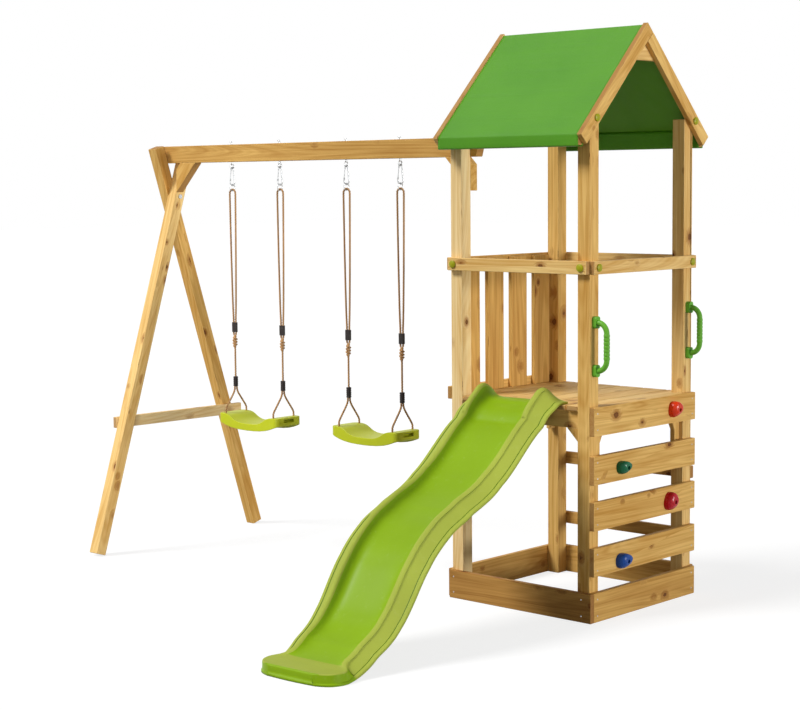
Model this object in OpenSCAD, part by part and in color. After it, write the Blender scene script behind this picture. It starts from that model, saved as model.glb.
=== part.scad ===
// Wooden climbing frame: a roofed tower with a slide and a climbing wall,
// and a swing arm on an A-frame that carries two swings.
// Built in a tower frame: X runs along the swing beam and grows towards the
// climbing wall, Y grows from the slide side to the ladder side, Z is up.
// Tower X = 0 and Y = 0 are the outer faces of the post between slide and wall.

/* [Tower] */
// Length of the tower over the posts, along the swing beam
tower_l = 750; // [650:1:950]
// Width of the tower over the posts, from the slide side to the ladder side
tower_w = 745; // [650:1:950]
// Side of a square post
post = 62; // [50:1:75]
// Thickness of rails, wall boards, base boards, rungs and rafters
board_t = 24; // [18:1:28]
// Height of a base board
base_h = 124; // [90:1:150]
// Height of a rail or rung
rail_h = 55; // [45:1:60]
// Height of the top of the hand rails
rail_top = 1502; // [1400:1:1600]

/* [Deck] */
// Height of the deck above the ground
deck_h = 900; // [800:1:1000]
// Number of deck boards
deck_n = 6; // [5:1:8]
// Thickness of a deck board
deck_t = 20; // [16:1:24]
// Gap between deck boards
deck_gap = 6; // [3:1:10]
// Height of a deck joist
joist_h = 75; // [60:1:100]
// Leg of a gusset under the front joist
gusset_front = 70; // [50:1:120]
// Leg of a gusset under a side joist
gusset_side = 120; // [70:1:160]

/* [Slatted panel] */
// Number of slats
slat_n = 4; // [3:1:5]
// Width of a slat
slat_w = 110; // [80:1:120]
// Gap between slats
slat_gap = 56; // [30:1:60]
// Thickness of a slat
slat_t = 20; // [16:1:24]
// Distance of the slat tops below the rail top
slat_drop = 8; // [2:1:20]
// Height of the lower panel rail's top above the deck
panel_rail_rise = 36; // [20:1:50]

/* [Climbing wall] */
// Height of a wall board
wall_board_h = 120; // [90:1:130]
// Width of the first climbing hold, which the others follow
hold_w = 72; // [66:1:84]
// Depth of a climbing hold
hold_depth = 40; // [30:1:50]
// Diameter of a hold bolt
hold_bolt_d = 8; // [6:0.5:10]

/* [Grab handles] */
// Height of a grab handle
handle_h = 250; // [200:1:300]
// Distance of the grip's axis from the post
handle_reach = 64; // [55:1:80]
// Diameter of the grip tube
handle_d = 26; // [20:1:32]
// Height of the middle of the handle next to the slide
handle_near_z = 1150; // [1090:1:1250]
// Height of the middle of the handle next to the ladder
handle_far_z = 1175; // [1090:1:1250]

/* [Roof] */
// Height of the rafters' apex
ridge_h = 2486; // [2350:1:2650]
// Slope of the roof in degrees
roof_pitch = 45.5; // [44.5:0.1:46]
// Level distance from the ridge to the rafters' lower top corners
rafter_run = 462; // [440:1:480]
// Thickness of the roof sheet
tarp_t = 3; // [2:0.5:4]
// Distance of the roof sheet below the rafters' top edges, measured upright
tarp_drop = 8; // [4:1:12]
// Level distance from the ridge to the hem's outer face
eave_run = 452; // [430:1:460]
// Height of the hem that wraps the eave batten
hem_h = 49; // [40:1:60]
// Height of the gable plate below the apex
gable_plate_h = 156; // [120:1:200]
// Height of the ridge batten
ridge_batten_h = 45; // [30:1:60]

/* [Swing arm] */
// Distance from the climbing wall's post faces to the outer face of the A-frame
arm_reach = 2763; // [2600:1:3000]
// Distance of the beam's underside below the tops of the tower's posts
beam_drop = 154; // [140:1:200]
// Height of the beam's section
beam_h = 85; // [75:1:100]
// Thickness of the beam's section
beam_t = 45; // [40:1:60]
// Distance of the beam's inner end past the post, at its underside
beam_tail = 31; // [20:1:60]
// Side of a square A-frame leg
leg = 58; // [50:1:70]
// Height of the legs' upper ends above the beam's underside
leg_head = 70; // [50:1:100]
// Lean of an A-frame leg in degrees
leg_lean = 17.5; // [16:0.1:19]
// Height of the middle of the A-frame crossbar
crossbar_z = 645; // [500:1:800]
// Distance that the crossbar stands past the back leg
crossbar_tail = 31; // [20:1:80]
// Width of a knee brace across its grain
brace_w = 82; // [60:1:100]
// Height of a knee brace's lower tip below the beam
brace_drop = 148; // [125:1:170]

/* [Swings] */
// Distance between the two hangers of one swing
hanger_pitch = 340; // [300:1:360]
// Distance between the middles of the two swings
swing_pitch = 786; // [740:1:840]
// Diameter of the hanger rods
rod_d = 8; // [6:0.5:10]
// Diameter of the wire of the eyes and carabiners
wire_d = 6; // [5:0.5:7]
// Diameter of the wire of the rope rings
ring_wire_d = 5; // [4:0.5:5.5]
// Diameter of the rope
rope_d = 10; // [8:1:10]
// Length of a seat
seat_l = 420; // [400:1:450]
// Width of a seat
seat_w = 170; // [165:1:190]
// Height of the seat's top in its middle
seat_z = 660; // [656:1:664]
// Drop of the seat's pan below its end pads
seat_sag = 40; // [36:1:44]
// Depth of the seat's rim
seat_rim = 34; // [30:1:38]
// Wall thickness of the seat
seat_wall = 6; // [4:0.5:7]
// Distance of the rope holes from the seat's middle line
seat_hole_y = 68; // [66:1:70]

/* [Slide] */
// Overall width of the slide
slide_w = 464; // [420:1:500]
// Level distance from the deck's edge to the foot of the slope
slide_run = 1278; // [1200:1:1350]
// Length of the flat exit lip
slide_lip = 152; // [120:1:180]
// Distance that the slide's top reaches onto the deck
slide_hook = 45; // [30:1:60]
// Height of the side walls' tops above the slide's lower edge
slide_wall_h = 52; // [46:1:60]
// Height of the exit lip
slide_lip_h = 46; // [30:1:50]
// Wall thickness of the moulding
slide_skin = 6; // [4:0.5:7]
// Turn of the slide on the deck's edge, in degrees
slide_turn = 3; // [-3:0.5:3]

/* [Bolts] */
// Diameter of the coach screws
screw_d = 8; // [6:0.5:10]
// Diameter of the caps over their heads
cap_d = 32; // [26:1:36]
// Depth of a coach screw in a post
screw_depth = 22; // [15:1:24]

/* [Hidden] */
$fn = 48;
overrun = 2;
play = 0.3;
hinge_play = 0.3;
bore_play = 0.4;

post_mid = post / 2;
rail_z = rail_top - rail_h / 2;
ridge_y = tower_w / 2;
pitch_tan = tan(roof_pitch);

// The part's origin is the middle of its box, on the ground
handle_outer = handle_reach + handle_d / 2;
mid_x = (handle_outer - arm_reach) / 2;
// Slide's width along the run, as shares, and the bow of its front
slide_taper_shares = [[0.5, 1], [0.75, 0.97], [1, 0.87]];
slide_corner_share = 1.03;
slide_corner_power = 3;
slide_tip_share = pow(1 - pow(1 / slide_corner_share, slide_corner_power), 1 / slide_corner_power);
slide_tip = slide_w / 2 * slide_taper_shares[2][1] * slide_tip_share;
slide_shift = slide_w / 2 * sin(abs(slide_turn));
slide_end = slide_run + slide_lip;
slide_front = slide_shift + slide_end * cos(slide_turn) + slide_tip * sin(abs(slide_turn));
mid_y = (ridge_y + rafter_run - slide_front) / 2;

wood = [0.80, 0.62, 0.36];
wood_lit = [0.85, 0.70, 0.44];
lime = [0.68, 0.76, 0.14];
steel = [0.70, 0.71, 0.72];
apple = [0.62, 0.77, 0.24];
black = [0.17, 0.14, 0.13];
rope_brown = [0.64, 0.44, 0.27];

// Heights of the wall boards' tops as shares of the deck's height
wall_top_shares = [1, 0.774, 0.561, 0.347];

// Heights of the ladder rungs' middles as shares of the deck's height
rung_shares = [0.6, 0.2856];

// Height of the sheet's outer face, from its distance to the ridge
tarp_top = ridge_h - tarp_drop;
tarp_rise = tarp_t / cos(roof_pitch);
function tarp_z(run) = tarp_top - run * pitch_tan;

// The posts reach up to a small gap below the sheet
post_gap = 2.7;
post_h = tarp_z(ridge_y) - tarp_rise - post_gap;

// Coach screws: place of the head's seat, and the turn that points outwards
rail_ends_x = [-tower_l + post_mid, -post_mid];
rail_ends_y = [post_mid, tower_w - post_mid];
rafter_screw_share = 0.25;
rafter_screw_y = [post * rafter_screw_share, tower_w - post * rafter_screw_share];
rafter_screw_z = ridge_h - (ridge_y - rafter_screw_y[0]) * pitch_tan - rail_h / 2 / cos(roof_pitch);
screws = concat(
    [for (x = rail_ends_x) [[x, -board_t, rail_z], [90, 0, 0]]],
    [for (y = rail_ends_y) [[board_t, y, rail_z], [0, 90, 0]]],
    [for (x = rail_ends_x) [[x, tower_w + board_t, rail_z], [-90, 0, 0]]],
    [for (y = rail_ends_y) [[-tower_l - board_t, y, rail_z], [0, -90, 0]]],
    [for (y = rafter_screw_y) [[board_t, y, rafter_screw_z], [0, 90, 0]]],
    [for (y = rafter_screw_y) [[-tower_l - board_t, y, rafter_screw_z], [0, -90, 0]]]
);
screw_head_h = screw_d * 0.75;
screw_head_d = screw_d * 2;
cap_h = screw_head_h + screw_d / 2;

// Swing arm
beam_y = post;
beam_mid_y = beam_y + beam_t / 2;
beam_z = post_h - beam_drop;
beam_top = beam_z + beam_h;
beam_end_slope = 15.5;
leg_x = -arm_reach + leg;
leg_foot_y = beam_y - play - leg * cos(leg_lean)
    + (beam_z - leg * sin(leg_lean)) * tan(leg_lean);
leg_axis_foot_y = leg_foot_y + leg / 2 / cos(leg_lean);
leg_bolt_z = (leg_axis_foot_y - beam_mid_y) / tan(leg_lean);
leg_len = (beam_z + leg_head) / cos(leg_lean);
leg_bolt_d = 10;
leg_bolt_head_d = 22;
leg_bolt_head_h = 6;

// The swings' common middle, as a share of the beam between the tower and the A-frame
swing_mid_share = 0.465;
swing_mid_x = tower_l + swing_mid_share * (arm_reach - tower_l);
swing_near_x = swing_mid_x - swing_pitch / 2;
swing_far_x = swing_mid_x + swing_pitch / 2;

// Hangers: the eye, the carabiner in it and the ring below it
eye_r = 11;
eye_drop = 22;
eye_z = beam_z - eye_drop;
hook_r = 7;
hook_neck = 6;
pivot_z = eye_z - eye_r + wire_d + play;
carabiner_top_r = 8;
carabiner_low_r = 16;
carabiner_l = 89;
carabiner_low_z = pivot_z - carabiner_l;
ring_r = 16;
ring_z = carabiner_low_z + wire_d / 2 + ring_wire_d / 2 + play - ring_r;
gate_low_share = 0.16;
gate_top_share = 0.86;
gate_eye_d = 7;
gate_pin_d = 3;
gate_w = 4;
cheek_t = 1.4;

// Rope routes, in each hanger's own X and Y, with Z above the ground
tube_sides = 8;
rope_upper = [
    [8, 0, 1084], [8, 0, 1120], [8, 0, 1160], [12, 0, 1260], [17, 0, 1500], [20, 0, 1740],
    [20, 0, 1784], [17, 0, 1794], [10, 0, 1801], [0, 0, 1804], [-10, 0, 1801], [-17, 0, 1794],
    [-20, 0, 1784], [-20, 0, 1740], [-17, 0, 1500], [-12, 0, 1260], [-8, 0, 1160],
    [-8, 0, 1120], [-8, 0, 1084]
];
rope_single = [[0, 0, 1017], [0, 0, 970], [0, 0, 923], [0, 0, 876.3]];
rope_lower_half = [
    [0, 7, 826.7], [0, 7, 816], [0, 10, 805], [0, 20, 787], [0, 54, 741], [0, 63, 728],
    [0, 67, 720], [0, 68, 712], [0, 68, 697], [0, 68, 682], [0, 67.3, 676.8], [0, 65.3, 672],
    [0, 62.1, 667.9], [0, 58, 664.7], [0, 53.2, 662.7], [0, 48, 662]
];
rope_bend = 20;
rope_run = rope_lower_half[len(rope_lower_half) - 1];
rope_lower = concat(
    rope_lower_half,
    [for (i = [len(rope_lower_half) - 1 : -1 : 0])
        [rope_lower_half[i][0], -rope_lower_half[i][1], rope_lower_half[i][2]]]
);
adjuster_low = 1098;
adjuster_h = 48;
adjuster_d = 17;
adjuster_hole_x = 8;
knot_top = 1083.7;
knot_h = 66.4;
knot_d = 28;
knot_shares = [[0, 0], [0.7, 0], [1, 0.2], [0.86, 0.5], [1, 0.8], [0.94, 1], [0, 1]];
spreader_low = 827;
spreader_h = 49;
spreader_d = 24;
spreader_ribs = 5;
spreader_rib_depth = 2;

seat_corner = 26;
seat_low_rise = 34;
seat_slot_l = 66;
seat_slot_h = 16;
seat_slot_drop = 9;
seat_hole_d = rope_d + 2 * bore_play;
saddle_w = 18;
saddle_r = rope_bend - rope_d / 2 - play;

// Shared shapes

// Moves the tower frame so that the origin lies under the middle of the part
module placed() translate([-mid_x, -mid_y, 0]) children();

// A square-edged board between two corners
module board(low, high) translate(low) cube(high - low);

// A straight round bar between two points
module bar(a, b, d) {
    v = b - a;
    l = norm(v);
    translate(a)
        rotate([0, acos(v[2] / l), atan2(v[1], v[0])])
            cylinder(d = d, h = l);
}

// A round-cornered rectangle about the origin
module round_rect(l, w, r) {
    square([l - 2 * r, w], center = true);
    square([l, w - 2 * r], center = true);
    for (sx = [-1, 1], sy = [-1, 1])
        translate([sx * (l / 2 - r), sy * (w / 2 - r)])
            circle(r);
}

// Bores of every coach screw, through the board and into the post
module screw_bores()
    for (s = screws)
        translate(s[0])
            rotate(s[1])
                translate([0, 0, -board_t - screw_depth - play])
                    cylinder(d = screw_d + bore_play, h = board_t + screw_depth + overrun);

// Round tube along its points, as one closed skin; flat is square to the route
function ring_dir(p, i) =
    let (a = p[max(i - 1, 0)], b = p[min(i + 1, len(p) - 1)]) (b - a) / norm(b - a);
function side_dir(t, n) = let (v = cross(t, n)) v / norm(v);
function tube_ring(p, i, r, n, flat) =
    let (t = ring_dir(p, i), u = side_dir(t, flat), v = cross(t, u))
    [for (k = [0 : n - 1]) p[i] + r * (cos(k * 360 / n) * u + sin(k * 360 / n) * v)];
function wall_faces(rings, n) =
    [for (i = [0 : rings - 2], k = [0 : n - 1], s = [0, 1])
        let (a = i * n + k, b = i * n + (k + 1) % n)
        s == 0 ? [a, b + n, b] : [a, a + n, b + n]];
function fan(first, n, turned) =
    [for (k = [1 : n - 2]) turned
        ? [first, first + k + 1, first + k]
        : [first, first + k, first + k + 1]];

// Closed skin over rings of n points each
module skin(points, n) {
    rings = len(points) / n;
    polyhedron(
        points,
        concat(wall_faces(rings, n), fan(0, n, false), fan((rings - 1) * n, n, true))
    );
}
module tube(points, d, flat)
    skin(
        [for (i = [0 : len(points) - 1], q = tube_ring(points, i, d / 2, tube_sides, flat)) q],
        tube_sides
    );

// Tower posts

module post_at(x, y) {
    placed() color(wood_lit) difference() {
        board([x, y, 0], [x + post, y + post, post_h]);
        screw_bores();
    }
}
module post_slide_panel() post_at(-tower_l, 0);
module post_slide_wall() post_at(-post, 0);
module post_ladder_wall() post_at(-post, tower_w - post);
module post_ladder_panel() post_at(-tower_l, tower_w - post);

// Boards round the four sides; each one lies on the outer faces of its posts

module slide_side(low, high, x_end) board([-tower_l, -board_t, low], [x_end, 0, high]);
module wall_side(low, high) board([0, 0, low], [board_t, tower_w, high]);
module ladder_side(low, high)
    board([-tower_l, tower_w, low], [0, tower_w + board_t, high]);
module panel_side(low, high)
    board([-tower_l - board_t, 0, low], [-tower_l, tower_w, high]);

module base_board_slide() placed() color(wood) slide_side(0, base_h, board_t);
module base_board_wall() placed() color(wood) wall_side(0, base_h);
module base_board_ladder() placed() color(wood) ladder_side(0, base_h);
module base_board_panel() placed() color(wood) panel_side(0, base_h);

module rail_slide() placed() color(wood_lit) difference() {
    slide_side(rail_top - rail_h, rail_top, 0);
    screw_bores();
}
module rail_wall() placed() color(wood_lit) difference() {
    wall_side(rail_top - rail_h, rail_top);
    screw_bores();
}
module rail_ladder() placed() color(wood_lit) difference() {
    ladder_side(rail_top - rail_h, rail_top);
    screw_bores();
}
module rail_panel() placed() color(wood_lit) difference() {
    panel_side(rail_top - rail_h, rail_top);
    screw_bores();
}

module ladder_rungs() placed() color(wood)
    for (z = deck_h * rung_shares)
        ladder_side(z - rail_h / 2, z + rail_h / 2);

// Slatted panel: slats stand on the deck, behind two rails

panel_rail_top = deck_h + panel_rail_rise;
module panel_lower_rail() placed() color(wood)
    panel_side(panel_rail_top - rail_h, panel_rail_top);

module panel_slats() placed() color(wood)
    for (i = [0 : slat_n - 1]) {
        y = post + i * (slat_w + slat_gap);
        board(
            [-tower_l, y, deck_h],
            [-tower_l + slat_t, y + slat_w, rail_top - slat_drop]
        );
    }

// Deck: boards from the slide side to the ladder side, notched round the posts

deck_board_w = (tower_l - (deck_n - 1) * deck_gap) / deck_n;
module deck_boards() placed() color(wood) difference() {
    for (i = [0 : deck_n - 1]) {
        x = -tower_l + i * (deck_board_w + deck_gap);
        board([x, 0, deck_h - deck_t], [x + deck_board_w, tower_w, deck_h]);
    }
    for (x = [-tower_l, -post], y = [0, tower_w - post])
        board(
            [x - (x < -post ? overrun : play), y - (y > 0 ? play : overrun), 0],
            [x + post + (x < -post ? play : overrun), y + post + (y > 0 ? overrun : play), post_h]
        );
}

joist_inset = (post - board_t) / 2;
joist_top = deck_h - deck_t;
joist_low = joist_top - joist_h;
module deck_joists() placed() color(wood) {
    for (y = [joist_inset, tower_w - joist_inset - board_t])
        board([-tower_l + post, y, joist_low], [-post, y + board_t, joist_top]);
    for (x = [-tower_l + joist_inset, -joist_inset - board_t])
        board([x, post, joist_low], [x + board_t, tower_w - post, joist_top]);
}

// A gusset in the XZ plane: one leg down the post, one under the joist
gusset_front_shares = [[0, 0], [1, 0], [0, -1]];
gusset_side_shares = [[0, 0], [0.6, 0], [0.3, -0.54], [0.3, -1], [0, -1]];
module gusset(leg_size, shares)
    rotate([90, 0, 0])
        linear_extrude(board_t, center = true)
            polygon([for (q = shares) leg_size * q]);
module joist_gussets() placed() color(wood) {
    for (side = [0, 1])
        translate([side ? -post : -tower_l + post, joist_inset + board_t / 2, joist_low])
            rotate([0, 0, side * 180])
                gusset(gusset_front, gusset_front_shares);
    for (x = [-tower_l + joist_inset, -joist_inset - board_t], side = [0, 1])
        translate([x + board_t / 2, side ? tower_w - post : post, joist_low])
            rotate([0, 0, side ? -90 : 90])
                gusset(gusset_side, gusset_side_shares);
}

// Climbing wall: boards on the outer faces of the two wall posts

hold_y_shares = [0.765, 0.256, 0.725, 0.259];
hold_z_shares = [0.50, 0.47, 0.46, 0.36];
hold_turns = [20, -15, 70, 0];
function wall_top(i) = deck_h * wall_top_shares[i];
function hold_y(i) = tower_w * hold_y_shares[i];
function hold_z(i) = wall_top(i) - wall_board_h * (1 - hold_z_shares[i]);

module wall_board(i) placed() color(wood) difference() {
    wall_side(wall_top(i) - wall_board_h, wall_top(i));
    translate([-overrun, hold_y(i), hold_z(i)])
        rotate([0, 90, 0])
            cylinder(d = hold_bolt_d + bore_play, h = board_t + 2 * overrun);
}
module wall_board_1() wall_board(0);
module wall_board_2() wall_board(1);
module wall_board_3() wall_board(2);
module wall_board_4() wall_board(3);

// A moulded hold: a lobed dome that leans up into a finger ledge, with a bolt hole
hold_w_shares = [1, 1.03, 1, 1.2];
hold_h_shares = [0.94, 0.76, 1.08, 0.88];
hold_profile_shares = [[1, 0], [1.02, 0.3], [0.96, 0.55], [0.84, 0.78], [0.68, 0.93], [0.5, 1]];
hold_lobe_share = 0.07;
hold_lift_share = 0.13;
hold_points = 24;
hold_head_d = 2 * hold_bolt_d;
hold_head_h = 0.6 * hold_bolt_d;
hold_seat_share = 0.45;
function hold_skin(w, h, turn) =
    [for (p = hold_profile_shares, k = [0 : hold_points - 1])
        let (a = k * 360 / hold_points, r = p[0] * (1 + hold_lobe_share * cos(3 * a + turn)) / 2)
        [hold_depth * p[1], w * r * cos(a), h * (r * sin(a) + hold_lift_share * p[1] * p[1])]];
module hold(i) placed()
    translate([board_t, hold_y(i), hold_z(i)])
        difference() {
            skin(
                hold_skin(hold_w * hold_w_shares[i], hold_w * hold_h_shares[i], hold_turns[i]),
                hold_points
            );
            rotate([0, 90, 0]) {
                translate([0, 0, -overrun])
                    cylinder(d = hold_bolt_d + bore_play, h = hold_depth + 2 * overrun);
                translate([0, 0, hold_depth * hold_seat_share])
                    cylinder(d = hold_head_d + 2 * play, h = hold_depth);
            }
        }
module hold_orange() color([0.86, 0.28, 0.12]) hold(0);
module hold_green() color([0.05, 0.45, 0.28]) hold(1);
module hold_red() color([0.78, 0.12, 0.16]) hold(2);
module hold_blue() color([0.08, 0.30, 0.68]) hold(3);

module hold_bolts() placed() color(steel)
    for (i = [0 : 3])
        translate([0, hold_y(i), hold_z(i)])
            rotate([0, 90, 0]) {
                seat = board_t + hold_depth * hold_seat_share;
                cylinder(d = hold_bolt_d, h = seat);
                translate([0, 0, seat])
                    cylinder(d = hold_head_d, h = hold_head_h);
            }

// Grab handles: a ribbed grip on two bends, each bend on a foot with two screws

foot_h = 50;
foot_w = 30;
foot_round = 11;
foot_t = 20;
handle_bend = 46;
grip_ribs = 7;
grip_rib_depth = 1.6;
module grab_handle(y, z) {
    bend_z = (handle_h - foot_h) / 2;
    grip_l = 2 * (bend_z - handle_bend);
    pitch = grip_l / grip_ribs;
    placed() color([0.25, 0.63, 0.20]) translate([0, y, z]) {
        translate([handle_reach, 0, -grip_l / 2])
            rotate_extrude()
                polygon(concat(
                    [[0, 0]],
                    [for (i = [0 : grip_ribs - 1], e = [0, 0.25, 0.75])
                        [handle_d / 2 - (e == 0 ? grip_rib_depth : 0), (i + e) * pitch]],
                    [[handle_d / 2 - grip_rib_depth, grip_l], [0, grip_l]]
                ));
        for (s = [-1, 1]) {
            translate([handle_reach - handle_bend, 0, s * (bend_z - handle_bend)])
                rotate([s * 90, 0, 0])
                    rotate_extrude(angle = 90)
                        translate([handle_bend, 0])
                            circle(d = handle_d - 2 * grip_rib_depth);
            translate([foot_t / 2, 0, s * bend_z])
                rotate([0, 90, 0])
                    cylinder(
                        d = handle_d - 2 * grip_rib_depth,
                        h = handle_reach - handle_bend - foot_t / 2
                    );
            translate([0, 0, s * bend_z])
                rotate([0, 90, 0])
                    linear_extrude(foot_t)
                        round_rect(foot_h, foot_w, foot_round);
        }
    }
}
module grab_handle_near() grab_handle(post_mid, handle_near_z);
module grab_handle_far() grab_handle(tower_w - post_mid, handle_far_z);

// Roof: two gables of rafters, their plates, battens and the sheet

// Rafter outline in the gable's plane: Y from the ridge, Z from the apex
module rafter_outline(side, start)
    rotate(side < 0 ? 180 + roof_pitch : -roof_pitch)
        translate([start, side < 0 ? 0 : -rail_h])
            square([rafter_run / cos(roof_pitch) - start, rail_h]);
// The slide side's rafter runs through to the apex and the other butts against it
module rafter_pair(x) placed() color(wood_lit) difference() {
    translate([x, ridge_y, ridge_h])
        rotate([90, 0, 90])
            linear_extrude(board_t) {
                difference() {
                    rafter_outline(-1, -rail_h);
                    rotate(-roof_pitch)
                        translate([-tower_w, 0])
                            square([2 * tower_w, tower_w]);
                }
                rafter_outline(1, rail_h * tan(2 * roof_pitch - 90) + rail_h + play);
            }
    screw_bores();
}
module rafters_wall_gable() rafter_pair(0);
module rafters_panel_gable() rafter_pair(-tower_l - board_t);

module gable_plates() placed() color(wood_lit)
    for (x = [-board_t, -tower_l]) {
        low = ridge_h - gable_plate_h;
        top = tarp_top - tarp_rise - play;
        translate([x, ridge_y, 0])
            rotate([90, 0, 90])
                linear_extrude(board_t)
                    polygon([
                        [0, top],
                        [(top - low) / pitch_tan, low],
                        [-(top - low) / pitch_tan, low]
                    ]);
    }

ridge_batten_top = tarp_z(board_t / 2) - tarp_rise - play;
module ridge_batten() placed() color(wood)
    board(
        [-tower_l + board_t, ridge_y - board_t / 2, ridge_batten_top - ridge_batten_h],
        [-board_t, ridge_y + board_t / 2, ridge_batten_top]
    );

// The hem is a closed sleeve round the eave batten
hem_w = board_t + 2 * tarp_t + 2 * play;
hem_in = eave_run - hem_w;
hem_low = tarp_z(eave_run) - hem_h;
eave_batten_h = hem_h - tarp_rise - tarp_t - 2 * play;
module eave_battens() placed() color(wood)
    for (s = [-1, 1])
        translate([-tower_l / 2, ridge_y + s * (eave_run - hem_w / 2), hem_low + tarp_t + play])
            translate([0, 0, eave_batten_h / 2])
                cube([tower_l, board_t, eave_batten_h], center = true);

// Half of the sheet's outline, from the ridge down to the hem
function sheet_half(side) = [
    [side * eave_run, tarp_z(eave_run)], [side * eave_run, hem_low], [side * hem_in, hem_low],
    [side * hem_in, tarp_z(hem_in) - tarp_rise]
];
function turned(list) = [for (i = [len(list) - 1 : -1 : 0]) list[i]];
module roof_tarp() placed() color([0.42, 0.68, 0.27])
    translate([-tower_l + play, ridge_y, 0])
        rotate([90, 0, 90])
            linear_extrude(tower_l - 2 * play)
                difference() {
                    polygon(concat(
                        [[0, tarp_top]], sheet_half(1), [[0, tarp_top - tarp_rise]],
                        turned(sheet_half(-1))
                    ));
                    for (s = [-1, 1])
                        polygon([
                            [s * (eave_run - tarp_t), hem_low + tarp_t],
                            [s * (eave_run - tarp_t), tarp_z(eave_run - tarp_t) - tarp_rise],
                            [s * (hem_in + tarp_t), tarp_z(hem_in + tarp_t) - tarp_rise],
                            [s * (hem_in + tarp_t), hem_low + tarp_t]
                        ]);
                }

// Coach screws and the caps over their heads

module coach_screws() placed() color(steel)
    for (s = screws)
        translate(s[0])
            rotate(s[1]) {
                translate([0, 0, -board_t - screw_depth])
                    cylinder(d = screw_d, h = board_t + screw_depth);
                cylinder(d = screw_head_d, h = screw_head_h, $fn = 6);
            }
module screw_caps() placed() color(lime)
    for (s = screws)
        translate(s[0])
            rotate(s[1])
                rotate_extrude()
                    difference() {
                        intersection() {
                            translate([0, cap_h - cap_d])
                                circle(cap_d);
                            square([cap_d / 2, cap_h]);
                        }
                        translate([-overrun, -overrun])
                            square([screw_head_d / 2 + play + overrun, screw_head_h + play + overrun]);
                    }

// Swing arm: the beam, the crossed legs, their bar and the knee braces

hanger_x = [
    -swing_far_x - hanger_pitch / 2, -swing_far_x + hanger_pitch / 2,
    -swing_near_x - hanger_pitch / 2, -swing_near_x + hanger_pitch / 2
];
beam_start_gap = 23;
module swing_beam() placed() color(wood) difference() {
    end_x = -tower_l + post + beam_tail;
    translate([0, beam_y + beam_t, beam_z])
        rotate([90, 0, 0])
            linear_extrude(beam_t)
                polygon([
                    [-arm_reach + beam_start_gap, 0], [end_x, 0],
                    [end_x + beam_h * tan(beam_end_slope), beam_h],
                    [-arm_reach + beam_start_gap, beam_h]
                ]);
    for (x = hanger_x)
        translate([x, beam_mid_y, beam_z - overrun])
            cylinder(d = rod_d + bore_play, h = beam_h + 2 * overrun);
}

// Bore of the bolt that joins the legs where they cross
module leg_bore(x)
    translate([x - overrun, beam_mid_y, leg_bolt_z])
        rotate([0, 90, 0])
            cylinder(d = leg_bolt_d + bore_play, h = leg + 2 * overrun);
module leg_back() placed() color(wood_lit) difference() {
    translate([-arm_reach, leg_foot_y, 0])
        rotate([leg_lean, 0, 0])
            cube([leg, leg, leg_len]);
    leg_bore(-arm_reach);
}
module leg_front() placed() color(wood_lit) difference() {
    translate([leg_x, 2 * beam_mid_y - leg_foot_y, 0])
        rotate([-leg_lean, 0, 0])
            translate([0, -leg, 0])
                cube([leg, leg, leg_len]);
    leg_bore(leg_x);
}
module leg_bolt() placed() color(steel)
    translate([-arm_reach, beam_mid_y, leg_bolt_z])
        rotate([0, 90, 0]) {
            cylinder(d = leg_bolt_d, h = 2 * leg);
            translate([0, 0, 2 * leg])
                cylinder(d = leg_bolt_head_d, h = leg_bolt_head_h);
        }

// The bar lies behind the front leg and before the back leg, so it stands askew
crossbar_half = leg_foot_y - beam_mid_y - (crossbar_z - rail_h / 2) * tan(leg_lean);
crossbar_skew = atan(board_t / (2 * (crossbar_half - rail_h * tan(leg_lean))));
crossbar_reach = crossbar_half + leg / cos(leg_lean);
module leg_crossbar() placed() color(wood)
    translate([leg_x, beam_mid_y, crossbar_z])
        rotate([0, 0, -crossbar_skew])
            translate([-board_t / 2 + play / 2, -crossbar_reach, -rail_h / 2])
                cube([board_t - play, 2 * crossbar_reach + crossbar_tail, rail_h]);

// Knee brace in the XZ plane: an upright cut at X = 0 and a level cut at Z = 0
module knee_brace() {
    cut = brace_w * sqrt(2);
    rotate([90, 0, 0])
        linear_extrude(beam_t, center = true)
            polygon([
                [0, -brace_drop], [brace_drop, 0], [brace_drop - cut, 0], [0, cut - brace_drop]
            ]);
}
module knee_braces() placed() color(wood) {
    translate([leg_x + leg, beam_mid_y, beam_z])
        knee_brace();
    translate([-tower_l + post, beam_mid_y, beam_z])
        mirror([1, 0, 0])
            knee_brace();
}

// Hanger rods: an eye under the beam, a shank through it and a bent end on top

module ring_yz(r, d)
    rotate([0, 90, 0])
        rotate_extrude()
            translate([r, 0])
                circle(d = d);
module hanger_rod(x) translate([x, beam_mid_y, 0]) {
    top = beam_top + hook_neck;
    translate([0, 0, eye_z])
        ring_yz(eye_r, wire_d);
    translate([0, 0, eye_z + eye_r])
        cylinder(d = rod_d, h = top - eye_z - eye_r);
    translate([-hook_r, 0, top])
        rotate([90, 0, 0])
            rotate_extrude(angle = 120)
                translate([hook_r, 0])
                    circle(d = rod_d);
}
module hanger_rods_far() placed() color(steel) for (i = [0, 1]) hanger_rod(hanger_x[i]);
module hanger_rods_near() placed() color(steel) for (i = [2, 3]) hanger_rod(hanger_x[i]);

// Carabiners: a pear of round wire, with a hinged gate in its left side

pear_top_z = pivot_z - carabiner_top_r;
pear_low_z = carabiner_low_z + carabiner_low_r;
pear_tilt = asin((carabiner_low_r - carabiner_top_r) / (pear_top_z - pear_low_z));
function pear_point(side, share) =
    let (r = carabiner_low_r + share * (carabiner_top_r - carabiner_low_r))
    [side * r * cos(pear_tilt), 0,
        pear_low_z + share * (pear_top_z - pear_low_z) + r * sin(pear_tilt)];
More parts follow.
